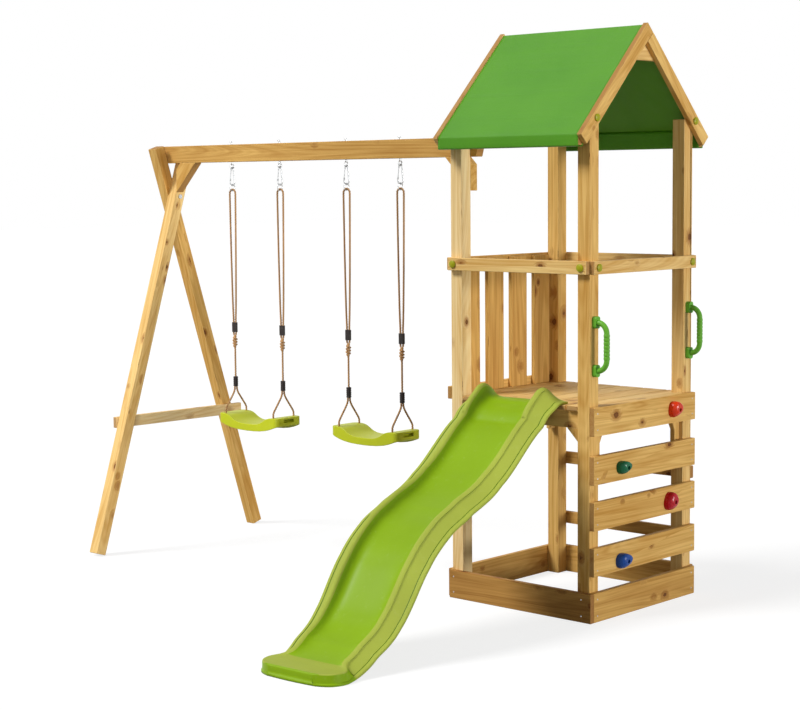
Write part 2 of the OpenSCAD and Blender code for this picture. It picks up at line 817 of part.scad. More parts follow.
// Points on an arc of the pear in the XZ plane
function pear_arc(z, r, from, to, steps) =
    [for (k = [0 : steps]) let (a = from + (to - from) * k / steps) [r * cos(a), 0, z + r * sin(a)]];
gate_axis = (pear_point(-1, 1) - pear_point(-1, 0)) / norm(pear_point(-1, 1) - pear_point(-1, 0));
gate_hinge = pear_point(-1, gate_low_share);
gate_reach = gate_eye_d / 2 + play;
pear_wire = concat(
    [gate_hinge - gate_reach * gate_axis],
    pear_arc(pear_low_z, carabiner_low_r, 180 - pear_tilt, 360 + pear_tilt, 10),
    pear_arc(pear_top_z, carabiner_top_r, pear_tilt, 180 - pear_tilt, 8),
    [pear_point(-1, gate_top_share)]
);
module carabiner() {
    tube(pear_wire, wire_d, [0, 1, 0]);
    for (s = [-1, 1])
        translate(gate_hinge + [0, s * (gate_w + cheek_t + 2 * play) / 2, 0])
            rotate([0, pear_tilt, 0])
                translate([0, 0, -gate_reach / 2])
                    cube([gate_pin_d, cheek_t, gate_reach + wire_d], center = true);
    translate(gate_hinge)
        rotate([90, 0, 0])
            cylinder(d = gate_pin_d, h = gate_w + 2 * play + cheek_t, center = true);
}
module gate(x) placed() color(steel) translate([x, beam_mid_y, 0]) {
    tip = pear_point(-1, gate_top_share) - 2 * play * gate_axis;
    difference() {
        union() {
            bar(gate_hinge, tip, gate_w);
            translate(gate_hinge)
                rotate([90, 0, 0])
                    cylinder(d = gate_eye_d, h = gate_w, center = true);
        }
        translate(gate_hinge)
            rotate([90, 0, 0])
                cylinder(d = gate_pin_d + 2 * hinge_play, h = gate_w + 2 * overrun, center = true);
    }
}
module carabiner_pair(first) placed() color(steel)
    for (i = [first, first + 1])
        translate([hanger_x[i], beam_mid_y, 0])
            carabiner();
module carabiners_far() carabiner_pair(0);
module carabiners_near() carabiner_pair(2);
module gate_far_left() gate(hanger_x[0]);
module gate_far_right() gate(hanger_x[1]);
module gate_near_left() gate(hanger_x[2]);
module gate_near_right() gate(hanger_x[3]);

// Rings, ropes and the fittings on them

module ring_pair(first) placed() color(steel)
    for (i = [first, first + 1])
        translate([hanger_x[i], beam_mid_y, ring_z])
            ring_yz(ring_r, ring_wire_d);
module rope_rings_far() ring_pair(0);
module rope_rings_near() ring_pair(2);

module rope_pair(first) placed() color(rope_brown)
    for (i = [first, first + 1])
        translate([hanger_x[i], beam_mid_y, 0]) {
            tube(rope_upper, rope_d, [0, 1, 0]);
            tube(rope_single, rope_d, [0, 1, 0]);
            tube(rope_lower, rope_d, [1, 0, 0]);
            knot();
        }
module ropes_far() rope_pair(0);
module ropes_near() rope_pair(2);

module adjuster()
    translate([0, 0, adjuster_low])
        difference() {
            union() {
                for (s = [-1, 1])
                    translate([s * adjuster_hole_x, 0, 0])
                        cylinder(d = adjuster_d, h = adjuster_h);
                translate([-adjuster_hole_x, -adjuster_d / 2, 0])
                    cube([2 * adjuster_hole_x, adjuster_d, adjuster_h]);
            }
            for (s = [-1, 1])
                translate([s * adjuster_hole_x, 0, -overrun])
                    cylinder(d = rope_d + 2 * bore_play, h = adjuster_h + 2 * overrun);
        }
// The knot where both strands of the loop join the single rope
module knot()
    translate([0, 0, knot_top - knot_h])
        rotate_extrude()
            polygon([for (q = knot_shares) [knot_d / 2 * q[0], knot_h * q[1]]]);
module spreader() {
    rib = spreader_h / spreader_ribs;
    translate([0, 0, spreader_low])
        rotate_extrude()
            polygon(concat(
                [[0, 0]],
                [for (i = [0 : spreader_ribs - 1], e = [0, 0.2, 0.8])
                    [spreader_d / 2 - (e == 0 ? spreader_rib_depth : 0), (i + e) * rib]],
                [[spreader_d / 2 - spreader_rib_depth, spreader_h], [0, spreader_h]]
            ));
}
module fitting_pair(first) placed() color(black)
    for (i = [first, first + 1])
        translate([hanger_x[i], beam_mid_y, 0]) {
            adjuster();
            spreader();
        }
module rope_fittings_far() fitting_pair(0);
module rope_fittings_near() fitting_pair(2);

// Seats: a sagging moulding with a rim all round, open below, with a slot at each end

// Upper face from the middle to a level end pad: shares of the half length and of the pan's drop
seat_top_shares = [
    [0, 0], [0.2, 0.02], [0.32, 0.08], [0.42, 0.22], [0.5, 0.42], [0.57, 0.64],
    [0.64, 0.83], [0.72, 0.94], [0.8, 0.985], [1, 1]
];
// Rim's lower edge: shares of the half length and of its rise
seat_low_shares = [
    [0, 0], [0.2, 0.02], [0.4, 0.09], [0.6, 0.25], [0.75, 0.47], [0.88, 0.74], [1, 1]
];
seat_steep = 1.5;
function seat_line(shares, rise, drop) =
    [for (s = [-1, 1], k = [0 : len(shares) - 1])
        let (q = shares[s < 0 ? len(shares) - 1 - k : k])
        if (s < 0 || k > 0) [s * q[0] * seat_l / 2, q[1] * rise - drop]];
// Upright slice under the upper face, down to the rim's lower edge
module seat_slice(drop, low)
    rotate([90, 0, 0])
        linear_extrude(seat_w, center = true)
            polygon(concat(
                seat_line(seat_top_shares, seat_sag, drop),
                [for (k = [2 * len(seat_low_shares) - 2 : -1 : 0])
                    seat_line(seat_low_shares, seat_low_rise, low)[k]]
            ));
// Upright block with the seat's plan, drawn in by a margin
module seat_plan(margin)
    translate([0, 0, -2 * seat_rim])
        linear_extrude(seat_sag + 3 * seat_rim)
            round_rect(seat_l - 2 * margin, seat_w - 2 * margin, seat_corner - margin);
module seat_shell()
    difference() {
        intersection() {
            seat_slice(0, seat_rim);
            seat_plan(0);
        }
        intersection() {
            seat_slice(seat_steep * seat_wall, 2 * seat_rim);
            seat_plan(seat_wall);
        }
    }
// Saddles under the skin that the lower ropes run round
module seat_saddles()
    intersection() {
        seat_slice(seat_wall / 2, seat_rim);
        for (s = [-1, 1])
            translate([s * hanger_pitch / 2, 0, rope_run[2] + rope_bend - seat_z])
                rotate([90, 0, 90])
                    linear_extrude(saddle_w, center = true) {
                        translate([-rope_run[1], -saddle_r])
                            square([2 * rope_run[1], saddle_r + seat_sag]);
                        for (e = [-1, 1])
                            translate([e * rope_run[1], 0])
                                circle(saddle_r);
                    }
    }
module seat(x) placed() color(lime)
    translate([x, beam_mid_y, seat_z])
        difference() {
            union() {
                seat_shell();
                seat_saddles();
            }
            for (sx = [-1, 1]) {
                for (sy = [-1, 1])
                    translate([sx * hanger_pitch / 2, sy * seat_hole_y, -seat_rim])
                        cylinder(d = seat_hole_d, h = seat_sag + 2 * seat_rim);
                translate([
                    sx * (seat_l - seat_wall) / 2, 0,
                    seat_sag - seat_slot_drop - seat_slot_h / 2
                ])
                    cube([3 * seat_wall, seat_slot_l, seat_slot_h], center = true);
            }
        }
module seat_near() seat(-swing_near_x);
module seat_far() seat(-swing_far_x);

// Slide: a trough lofted along one wave, from the deck to a flat exit lip

// Lower edge: run from the deck's edge and height, as shares of run and deck height
slide_path_shares = [
    [-0.08, 1], [-0.04, 1], [0, 1], [0.03, 0.985], [0.1035, 0.91], [0.3265, 0.684], [0.4795, 0.584],
    [0.5855, 0.514], [0.6885, 0.392], [0.8155, 0.17], [0.9155, 0.073], [0.98, 0.02], [1.04, 0],
    [1.12, 0], [1.3, 0]
];
// Height of the wall tops along the run, as shares of the wall height
slide_wall_shares = [
    [-0.04, 0.28], [-0.02, 0.85], [0.005, 1.42], [0.025, 1.55], [0.06, 1.3], [0.12, 1], [0.23, 0.9],
    [0.35, 1.02], [0.5, 1.1], [0.62, 1.04], [0.8, 1], [0.92, 0.98], [1.0, 1], [1.06, 0.9]
];
// Height of the bed along the run, as shares of the lip's height
slide_bed_shares = [
    [-0.04, 0.18], [0.1, 0.18], [0.75, 0.2], [0.88, 0.4], [0.96, 0.72], [1.03, 1], [1.12, 1]
];
// Half section from the middle over the ridge: shares of the half width, and of the
// wall's height over the bed
slide_trough_shares = [
    [0, 0], [0.33, 0], [0.52, 0.02], [0.575, 0.09], [0.62, 0.28], [0.652, 0.58], [0.676, 0.83],
    [0.705, 0.97], [0.735, 1]
];
// Outer wall from the ridge to its foot: shares of the half width, of the wall's height
// over the flange, and of the depth of the recessed panel
slide_outer_shares = [
    [0.765, 0.97, 0], [0.79, 0.88, 0], [0.802, 0.8, 0], [0.808, 0.76, 1], [0.925, 0.1, 1],
    [0.938, 0.05, 0]
];
// Depth of the recessed panel along the run
slide_recess_shares = [[0, 0], [0.03, 1], [0.985, 1], [1.005, 0]];
slide_recess = 2.5;
slide_flange_h = 10;
slide_flange_shares = [0.3, 0.7];
slide_corner = 120;
slide_corner_rings = 8;
slide_front_share = 0.88;
slide_solid = 3 * slide_skin;
slide_steps = 50;
slide_mid_x = -tower_l / 2;

function spline(p, i, t) =
    let (a = p[i - 1], b = p[i], c = p[i + 1], d = p[i + 2])
    0.5 * (2 * b + (c - a) * t + (2 * a - 5 * b + 4 * c - d) * t * t
        + (3 * b - a - 3 * c + d) * t * t * t);
function span_of(u, p, i) = u < p[i + 1][0] || i == len(p) - 3 ? i : span_of(u, p, i + 1);
function path_height(run) =
    let (
        p = slide_path_shares,
        u = run / slide_run,
        i = span_of(u, p, 1),
        t = (u - p[i][0]) / (p[i + 1][0] - p[i][0])
    )
    deck_h * max(0, spline(p, i, t)[1]);
// Half width, which narrows to the bowed front of the lip
function slide_half(run) =
    let (t = max(0, run - slide_end + slide_corner) / (slide_corner * slide_corner_share))
    slide_w / 2 * lookup(run / slide_run, slide_taper_shares)
        * pow(1 - pow(t, slide_corner_power), 1 / slide_corner_power);

// Upper half section: trough, ridge, outer wall and flange
function slide_top(half, bed, wall, recess) = concat(
    [for (s = slide_trough_shares) [s[0] * half, bed + s[1] * (wall - bed)]],
    [for (s = slide_outer_shares)
        [s[0] * half - s[2] * recess, slide_flange_h + s[1] * (wall - slide_flange_h)]],
    [[half, slide_flange_h], [half, 0]]
);
// Underside: the same skin one wall thickness below, down to the flange's flat foot
function slide_low(top, half) =
    let (
        m = len(top) - 2,
        wall = [for (i = [0 : m - 1])
            let (t = i == 0 ? [1, 0] : (top[i + 1] - top[i - 1]) / norm(top[i + 1] - top[i - 1]))
            top[i] + slide_skin * [t[1], -t[0]]],
        foot = wall[m - 1][0]
    )
    concat(
        [for (q = wall) [q[0], max(0, q[1])]],
        [for (s = slide_flange_shares) [foot + s * (half - foot), 0]]
    );
// One section of the slide; a closed one is solid down to the ground
function slide_ring(run, height_share, closed) =
    let (
        u = run / slide_run,
        step = slide_end / slide_steps,
        fall = (path_height(run - step) - path_height(run + step)) / (2 * step),
        n = [0, -fall, 1] / norm([0, fall, 1]),
        foot = [0, -run, path_height(run) + (run < 0 ? play : 0)],
        bed = slide_lip_h * lookup(u, slide_bed_shares) * height_share,
        wall = max(slide_wall_h * lookup(u, slide_wall_shares), bed + slide_skin / 2) * height_share,
        half = slide_half(run),
        recess = slide_recess * lookup(u, slide_recess_shares),
        top = slide_top(half, bed, wall, recess),
        low = slide_low(top, half),
        m = len(top),
        outline = concat(
            [for (i = [m - 1 : -1 : 1]) [-top[i][0], top[i][1]]], top,
            [for (i = [m - 1 : -1 : 0]) [low[i][0], closed ? 0 : low[i][1]]],
            [for (i = [1 : m - 1]) [-low[i][0], closed ? 0 : low[i][1]]]
        )
    )
    [for (q = outline) foot + [q[0], 0, 0] + q[1] * n];

module slide() placed() color(apple) {
    straight = slide_end - slide_corner + slide_hook;
    turn = asin(1 - slide_solid / slide_corner);
    rings = concat(
        [for (k = [0 : slide_steps]) slide_ring(k / slide_steps * straight - slide_hook, 1, false)],
        [for (k = [1 : slide_corner_rings])
            slide_ring(
                slide_end - slide_corner * (1 - sin(k / slide_corner_rings * turn)), 1, false
            )],
        [for (k = [2, 1]) slide_ring(slide_end - k / 3 * slide_solid, 1, true)],
        [slide_ring(slide_end, slide_front_share, true)]
    );
    n = len(rings[0]);
    // End caps join each upper point to the lower point below it, alike on both sides
    strip = [for (i = [0 : n / 2 - 2], s = [0, 1])
        let (a = i, b = i + 1, c = n - 2 - i, d = n - 1 - i)
        i < n / 4 - 1
            ? (s == 0 ? [a, d, b] : [b, d, c])
            : (s == 0 ? [a, c, b] : [a, d, c])];
    last = (len(rings) - 1) * n;
    translate([slide_mid_x, -slide_shift, 0])
        rotate([0, 0, slide_turn])
            polyhedron(
                [for (r = rings, q = r) q],
                concat(
                    [for (f = wall_faces(len(rings), n)) [f[0], f[2], f[1]]],
                    strip,
                    [for (f = strip) [last + f[0], last + f[2], last + f[1]]]
                )
            );
}

post_slide_panel();
post_slide_wall();
post_ladder_wall();
post_ladder_panel();
base_board_slide();
base_board_wall();
base_board_ladder();
base_board_panel();
rail_slide();
rail_wall();
rail_ladder();
rail_panel();
panel_lower_rail();
panel_slats();
deck_boards();
deck_joists();
joist_gussets();
wall_board_1();
wall_board_2();
wall_board_3();
wall_board_4();
ladder_rungs();
hold_orange();
hold_green();
hold_red();
hold_blue();
hold_bolts();
grab_handle_near();
grab_handle_far();
rafters_wall_gable();
rafters_panel_gable();
gable_plates();
ridge_batten();
eave_battens();
roof_tarp();
coach_screws();
screw_caps();
swing_beam();
leg_front();
leg_back();
leg_bolt();
leg_crossbar();
knee_braces();
hanger_rods_near();
hanger_rods_far();
slide();
seat_near();
seat_far();
carabiners_near();
carabiners_far();
gate_near_left();
gate_near_right();
gate_far_left();
gate_far_right();
rope_rings_near();
rope_rings_far();
ropes_near();
ropes_far();
rope_fittings_near();
rope_fittings_far();
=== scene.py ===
"""Looks of a wooden climbing frame: timber, slide, roof sheet, swings and their ropes."""

import math
import random

import bpy
import numpy as np
from mathutils import Matrix, Vector


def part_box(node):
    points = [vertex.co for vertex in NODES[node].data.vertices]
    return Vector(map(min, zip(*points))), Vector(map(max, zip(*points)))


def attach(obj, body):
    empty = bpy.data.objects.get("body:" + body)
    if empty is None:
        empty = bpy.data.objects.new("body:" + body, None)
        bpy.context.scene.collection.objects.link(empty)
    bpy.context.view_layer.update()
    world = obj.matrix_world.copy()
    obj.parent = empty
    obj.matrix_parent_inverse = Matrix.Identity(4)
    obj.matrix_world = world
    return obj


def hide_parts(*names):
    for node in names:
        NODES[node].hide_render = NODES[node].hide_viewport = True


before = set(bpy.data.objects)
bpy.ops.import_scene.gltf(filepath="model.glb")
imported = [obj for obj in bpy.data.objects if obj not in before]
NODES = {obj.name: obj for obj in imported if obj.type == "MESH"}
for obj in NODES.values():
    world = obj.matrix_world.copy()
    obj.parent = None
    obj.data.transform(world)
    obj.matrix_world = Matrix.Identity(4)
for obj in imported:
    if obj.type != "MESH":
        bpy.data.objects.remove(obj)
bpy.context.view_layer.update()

# Sizes in metres. The local origin is the tower's ground corner between slide and wall
CORNER = Vector((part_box("post_slide_wall")[1].x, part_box("post_slide_wall")[0].y, 0.0))
TOWER_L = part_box("post_slide_wall")[1].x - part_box("post_slide_panel")[0].x
TOWER_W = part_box("post_ladder_wall")[1].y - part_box("post_slide_wall")[0].y
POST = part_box("post_slide_wall")[1].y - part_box("post_slide_wall")[0].y
DECK_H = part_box("deck_boards")[1].z
RIDGE_Y = TOWER_W / 2


def at(x, y, z):
    """A point of the frame, from its place in the tower's own corner."""
    return CORNER + Vector((x, y, z))


# Camera, as fitted to the photograph: place from the corner, angles in radians
CAMERA_PLACE = (4.4421, -5.9706, 1.8192)
CAMERA_YAW = 0.7443
CAMERA_PITCH = 0.0936
CAMERA_ROLL = -0.0086
FOCAL_PIXELS = 1813.1
IMAGE_WIDTH = 800
SENSOR_MM = 36.0


def make_camera():
    """The camera at the photograph's viewing angle."""
    level = Vector((math.cos(CAMERA_YAW), math.sin(CAMERA_YAW), 0.0))
    ahead = Vector((-math.sin(CAMERA_YAW), math.cos(CAMERA_YAW), 0.0))
    ahead = ahead * math.cos(CAMERA_PITCH) - Vector((0.0, 0.0, math.sin(CAMERA_PITCH)))
    over = level.cross(ahead)
    right = level * math.cos(CAMERA_ROLL) + over * math.sin(CAMERA_ROLL)
    top = over * math.cos(CAMERA_ROLL) - level * math.sin(CAMERA_ROLL)
    data = bpy.data.cameras.new("photo_camera")
    data.sensor_width = SENSOR_MM
    data.lens = FOCAL_PIXELS / IMAGE_WIDTH * SENSOR_MM
    camera = bpy.data.objects.new("photo_camera", data)
    bpy.context.scene.collection.objects.link(camera)
    turn = Matrix((right, top, -ahead)).transposed()
    camera.matrix_world = Matrix.Translation(at(*CAMERA_PLACE)) @ turn.to_4x4()
    bpy.context.scene.camera = camera


# Shader helpers


def wire(tree, value, socket):
    """Links an output socket to an input, or sets a constant on it."""
    if isinstance(value, bpy.types.NodeSocket):
        tree.links.new(value, socket)
    else:
        socket.default_value = value


def put(tree, kind, inputs=None, **settings):
    """Adds a shader node with its settings and inputs."""
    node = tree.nodes.new("ShaderNode" + kind)
    for key, value in settings.items():
        setattr(node, key, value)
    for key, value in (inputs or {}).items():
        wire(tree, value, node.inputs[key])
    return node


def calc(tree, operation, *values, clamp=False):
    """A math node's result."""
    return put(tree, "Math", dict(enumerate(values)), operation=operation, use_clamp=clamp).outputs[0]


def times(tree, a, b):
    """Two numbers multiplied."""
    return calc(tree, "MULTIPLY", a, b)


def dot(tree, a, b):
    """Dot product of two vectors."""
    return put(tree, "VectorMath", {0: a, 1: b}, operation="DOT_PRODUCT").outputs["Value"]


def pack(tree, x, y, z):
    """A vector from three numbers."""
    return put(tree, "CombineXYZ", {0: x, 1: y, 2: z}).outputs[0]


def smooth(tree, value, low, high):
    """Rises softly from 0 at low to 1 at high."""
    inputs = {"Value": value, "From Min": low, "From Max": high}
    return put(tree, "MapRange", inputs, interpolation_type="SMOOTHSTEP").outputs["Result"]


def noise(tree, vector, scale, detail=3.0, roughness=0.5):
    """A noise field from 0 to 1."""
    inputs = {"Vector": vector, "Scale": scale, "Detail": detail, "Roughness": roughness}
    return put(tree, "TexNoise", inputs).outputs["Fac"]


def tint(tree, share, a, b, mode="MIX"):
    """Two colours mixed by a share."""
    node = put(tree, "Mix", data_type="RGBA", blend_type=mode)
    wire(tree, share, node.inputs[0])
    wire(tree, a, node.inputs[6])
    wire(tree, b, node.inputs[7])
    return node.outputs[2]


def bump(tree, height, strength, distance):
    """A normal from a height field."""
    inputs = {"Height": height, "Strength": strength, "Distance": distance}
    return put(tree, "Bump", inputs).outputs["Normal"]


def linear(r, g, b):
    """A linear colour from the 0 to 255 values of a screen."""
    values = [c / 255 for c in (r, g, b)]
    return (*[c / 12.92 if c <= 0.04045 else ((c + 0.055) / 1.055) ** 2.4 for c in values], 1.0)


def new_material(name, **sockets):
    """A material with one principled shader; sockets set its constants."""
    material = bpy.data.materials.new(name)
    material.use_nodes = True
    shader = material.node_tree.nodes["Principled BSDF"]
    for key, value in sockets.items():
        shader.inputs[key.replace("_", " ")].default_value = value
    return material, material.node_tree, shader


def place_of(tree):
    """Object coordinates, which are the frame's own metres."""
    return put(tree, "TexCoord").outputs["Object"]


# Timber

KNOT_CORE = linear(112, 66, 29)
KNOT_RIM = linear(78, 42, 18)
KNOT_HALO = linear(158, 98, 42)
END_GRAIN = linear(150, 104, 58)
# How far the pattern shifts from board to board, in all and each way
BOARD_SHIFT = 9.7
SHIFT_SHARES = {"Along": 1.31, "Side": 0.73, "Up": 0.57}
# Patterns of the wood: cells to the metre along the grain and across it
KNOT_CELLS = (8.0, 11.0)
RING_CELLS = (0.32, 4.4)
FIBRE_CELLS = (5.0, 260.0)
STREAK_CELLS = (2.2, 95.0)
PATCH_CELLS = (2.4, 9.0)
# Knots: the share of cells without one, least size and spread of sizes in cells
KNOTLESS = 0.22
KNOT_LEAST, KNOT_SPREAD = 0.06, 0.09
# Growth rings over the slow field: wide ones, and fine ones between them
WIDE_RINGS, FINE_RINGS = 150.0, 520.0


def make_grain():
    """A node group: softwood from a grain direction, a seed and two colours."""
    tree = bpy.data.node_groups.new("softwood", "ShaderNodeTree")
    sockets = [
        ("Place", "NodeSocketVector"), ("Along", "NodeSocketVector"), ("Side", "NodeSocketVector"),
        ("Up", "NodeSocketVector"), ("Seed", "NodeSocketFloat"), ("Light", "NodeSocketColor"),
        ("Dark", "NodeSocketColor"),
    ]
    for name, kind in sockets:
        tree.interface.new_socket(name, in_out="INPUT", socket_type=kind)
    for name, kind in [("Color", "NodeSocketColor"), ("Roughness", "NodeSocketFloat"),
                       ("Normal", "NodeSocketVector")]:
        tree.interface.new_socket(name, in_out="OUTPUT", socket_type=kind)
    given = tree.nodes.new("NodeGroupInput").outputs
    result = tree.nodes.new("NodeGroupOutput").inputs

    # Coordinates along and across the grain, shifted for each board
    geometry = put(tree, "NewGeometry").outputs
    shift = calc(tree, "MULTIPLY_ADD", geometry["Random Per Island"], BOARD_SHIFT, given["Seed"])
    along, side, up = [calc(tree, "MULTIPLY_ADD", shift, share, dot(tree, given["Place"], given[way]))
                       for way, share in SHIFT_SHARES.items()]

    def stretched(length, width):
        return pack(tree, times(tree, along, length), times(tree, side, width), times(tree, up, width))

    # Knots: dark ovals with a halo, in some cells of a lattice only
    cells = stretched(*KNOT_CELLS)
    lattice = put(tree, "TexVoronoi", {"Vector": cells, "Scale": 1.0, "Randomness": 1.0})
    chance = put(tree, "SeparateColor", {"Color": lattice.outputs["Color"]}).outputs
    exists = calc(tree, "GREATER_THAN", chance["Red"], KNOTLESS)
    size = calc(tree, "MULTIPLY_ADD", chance["Green"], KNOT_SPREAD, KNOT_LEAST)
    ratio = calc(tree, "DIVIDE", lattice.outputs["Distance"], size)
    ragged = noise(tree, cells, 14.0, 2.0)
    ratio = calc(tree, "MULTIPLY_ADD", calc(tree, "SUBTRACT", ragged, 0.5), 0.7, ratio)
    inside = calc(tree, "SUBTRACT", 1.0, smooth(tree, ratio, 0.75, 1.05))
    core = times(tree, inside, exists)
    rim = times(tree, core, smooth(tree, ratio, 0.45, 0.85))
    around = calc(tree, "SUBTRACT", 1.0, smooth(tree, ratio, 0.8, 2.9))
    halo = times(tree, around, exists)

    # Growth rings: contour lines of a slow field, which bend round the knots
    field = calc(tree, "MULTIPLY_ADD", halo, 0.05, noise(tree, stretched(*RING_CELLS), 1.0, 1.5, 0.4))
    wide = calc(tree, "SINE", times(tree, field, WIDE_RINGS))
    wide = smooth(tree, wide, -0.4, 1.0)
    fine = calc(tree, "SINE", times(tree, field, FINE_RINGS))
    fibre = noise(tree, stretched(*FIBRE_CELLS), 1.0, 3.0, 0.6)
    streak = noise(tree, stretched(*STREAK_CELLS), 1.0, 3.0, 0.55)
    patch = noise(tree, stretched(*PATCH_CELLS), 1.0, 2.0, 0.5)

    # Colour: two tones by streaks and patches, darker in late wood, halos and knots
    tone = calc(tree, "MULTIPLY_ADD", streak, 0.9, calc(tree, "MULTIPLY_ADD", patch, 0.9, -0.38))
    tone = calc(tree, "MULTIPLY_ADD", fibre, 0.6, calc(tree, "SUBTRACT", tone, 0.3))
    tone = calc(tree, "MULTIPLY_ADD", wide, -0.24, tone)
    tone = calc(tree, "MULTIPLY_ADD", fine, 0.08, tone)
    board = calc(tree, "MULTIPLY_ADD", geometry["Random Per Island"], 0.3, -0.1)
    tone = calc(tree, "ADD", tone, board, clamp=True)
    colour = tint(tree, tone, given["Dark"], given["Light"])
    colour = tint(tree, times(tree, halo, 0.62), colour, KNOT_HALO, "MULTIPLY")
    colour = tint(tree, times(tree, core, 0.85), colour, KNOT_CORE)
    colour = tint(tree, times(tree, rim, 0.6), colour, KNOT_RIM)

    # End grain is darker and drinks in more light
    ending = calc(tree, "ABSOLUTE", dot(tree, geometry["True Normal"], given["Along"]))
    ending = smooth(tree, ending, 0.75, 0.95)
    colour = tint(tree, times(tree, ending, 0.7), colour, END_GRAIN)

    height = calc(tree, "MULTIPLY_ADD", fibre, 0.6, times(tree, wide, -0.35))
    height = calc(tree, "MULTIPLY_ADD", core, 0.8, height)
    wire(tree, colour, result["Color"])
    wire(tree, calc(tree, "MULTIPLY_ADD", fibre, 0.22, 0.46), result["Roughness"])
    wire(tree, bump(tree, height, 0.35, 0.0006), result["Normal"])
    return tree


X, Y, Z = (1, 0, 0), (0, 1, 0), (0, 0, 1)


def timber(name, grain, along, light, dark, seed, place):
    """Timber with its grain along one direction."""
    along = Vector(along).normalized()
    other = Vector(X if abs(along.x) < 0.9 else Y)
    side = along.cross(other).normalized()
    material, tree, shader = new_material(name, Specular_IOR_Level=0.12)
    wood = tree.nodes.new("ShaderNodeGroup")
    wood.node_tree = grain
    inputs = {"Place": place(tree), "Along": along, "Side": side, "Up": along.cross(side),
              "Seed": seed, "Light": light, "Dark": dark}
    for key, value in inputs.items():
        wire(tree, value, wood.inputs[key])
    wire(tree, wood.outputs["Color"], shader.inputs["Base Color"])
    wire(tree, wood.outputs["Roughness"], shader.inputs["Roughness"])
    wire(tree, wood.outputs["Normal"], shader.inputs["Normal"])
    return material


def mirrored_place(axis, middle):
    """Coordinates folded about an upright plane, so that two mirrored boards share one grain."""
    def place(tree):
        parts = put(tree, "SeparateXYZ", {0: place_of(tree)}).outputs
        values = [parts[0], parts[1], parts[2]]
        values[axis] = calc(tree, "ABSOLUTE", calc(tree, "SUBTRACT", parts[axis], middle))
        return pack(tree, *values)
    return place


def turned_place(middle_x, reach):
    """Coordinates with X and Y swapped past a distance from the middle, for boards that run across."""
    def place(tree):
        parts = put(tree, "SeparateXYZ", {0: place_of(tree)}).outputs
        away = calc(tree, "ABSOLUTE", calc(tree, "SUBTRACT", parts[0], middle_x))
        across = calc(tree, "GREATER_THAN", away, reach)
        node = put(tree, "Mix", data_type="VECTOR")
        wire(tree, across, node.inputs[0])
        wire(tree, pack(tree, parts[0], parts[1], parts[2]), node.inputs[4])
        wire(tree, pack(tree, parts[1], parts[0], parts[2]), node.inputs[5])
        return node.outputs[1]
    return place


# Tones of the boards: light and dark
PALE = (linear(252, 228, 174), linear(222, 180, 112))
HONEY = (linear(246, 214, 146), linear(206, 158, 84))
GOLD = (linear(240, 200, 122), linear(194, 142, 66))
AMBER = (linear(226, 182, 104), linear(174, 122, 54))
# The darkest tone is painted shade: the slide's shadow on the base board under it
UMBER_PAINTED_SHADE = (linear(200, 152, 82), linear(146, 98, 42))

ROOF_PITCH = math.radians(45.5)
LEG_LEAN = math.radians(17.5)
RAFTER_GRAIN = (0, math.cos(ROOF_PITCH), -math.sin(ROOF_PITCH))
BRACE_GRAIN = (-1, 0, 1)
SEED_STEP = 2.37
EDGE_ROUND = 0.0028
WELD_REACH = 0.00002
FLAT_ANGLE, SHARP_ANGLE = math.radians(1.0), math.radians(40.0)


def dress_timber():
    """Rounded edges and a grain of its own for every wooden node."""
    grain = make_grain()
    middle_x = at(-TOWER_L / 2, 0, 0).x
    ridge = mirrored_place(1, at(0, RIDGE_Y, 0).y)
    low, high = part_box("knee_braces")
    lean = (math.sin(LEG_LEAN), math.cos(LEG_LEAN))
    places = {
        "deck_joists": turned_place(middle_x, TOWER_L / 2 - POST),
        "rafters_wall_gable": ridge,
        "rafters_panel_gable": ridge,
        "knee_braces": mirrored_place(0, (low.x + high.x) / 2),
    }
    rows = [
        ("post_slide_panel", Z, PALE), ("post_slide_wall", Z, GOLD),
        ("post_ladder_wall", Z, HONEY), ("post_ladder_panel", Z, GOLD),
        # The slide-side base board takes the darkest tone, painted shade for the slide's shadow
        ("base_board_slide", X, UMBER_PAINTED_SHADE), ("base_board_wall", Y, AMBER),
        ("base_board_ladder", X, AMBER), ("base_board_panel", Y, AMBER),
        ("rail_slide", X, HONEY), ("rail_wall", Y, HONEY),
        ("rail_ladder", X, HONEY), ("rail_panel", Y, AMBER),
        ("panel_lower_rail", Y, GOLD), ("panel_slats", Z, AMBER),
        ("deck_boards", Y, HONEY), ("deck_joists", X, GOLD),
        ("joist_gussets", Z, GOLD),
        ("wall_board_1", Y, GOLD), ("wall_board_2", Y, GOLD),
        ("wall_board_3", Y, GOLD), ("wall_board_4", Y, GOLD),
        ("ladder_rungs", X, AMBER),
        ("rafters_wall_gable", RAFTER_GRAIN, GOLD), ("rafters_panel_gable", RAFTER_GRAIN, HONEY),
        ("gable_plates", Y, HONEY), ("ridge_batten", X, GOLD),
        ("eave_battens", X, GOLD), ("swing_beam", X, AMBER),
        ("leg_front", (0, lean[0], lean[1]), HONEY), ("leg_back", (0, -lean[0], lean[1]), GOLD),
        # The crossbar takes the palest tone, painted light for light that the lamps don't bring past the
        # tower
        ("leg_crossbar", Y, PALE), ("knee_braces", BRACE_GRAIN, GOLD),
    ]
    for number, (name, along, tones) in enumerate(rows):
        seed = SEED_STEP * number
        material = timber("timber_" + name, grain, along, *tones, seed, places.get(name, place_of))
        finish_node(NODES[name], material)
        soften(NODES[name], EDGE_ROUND)


def finish_node(node, material):
    """Gives a node its material."""
    node.material_slots[0].material = material


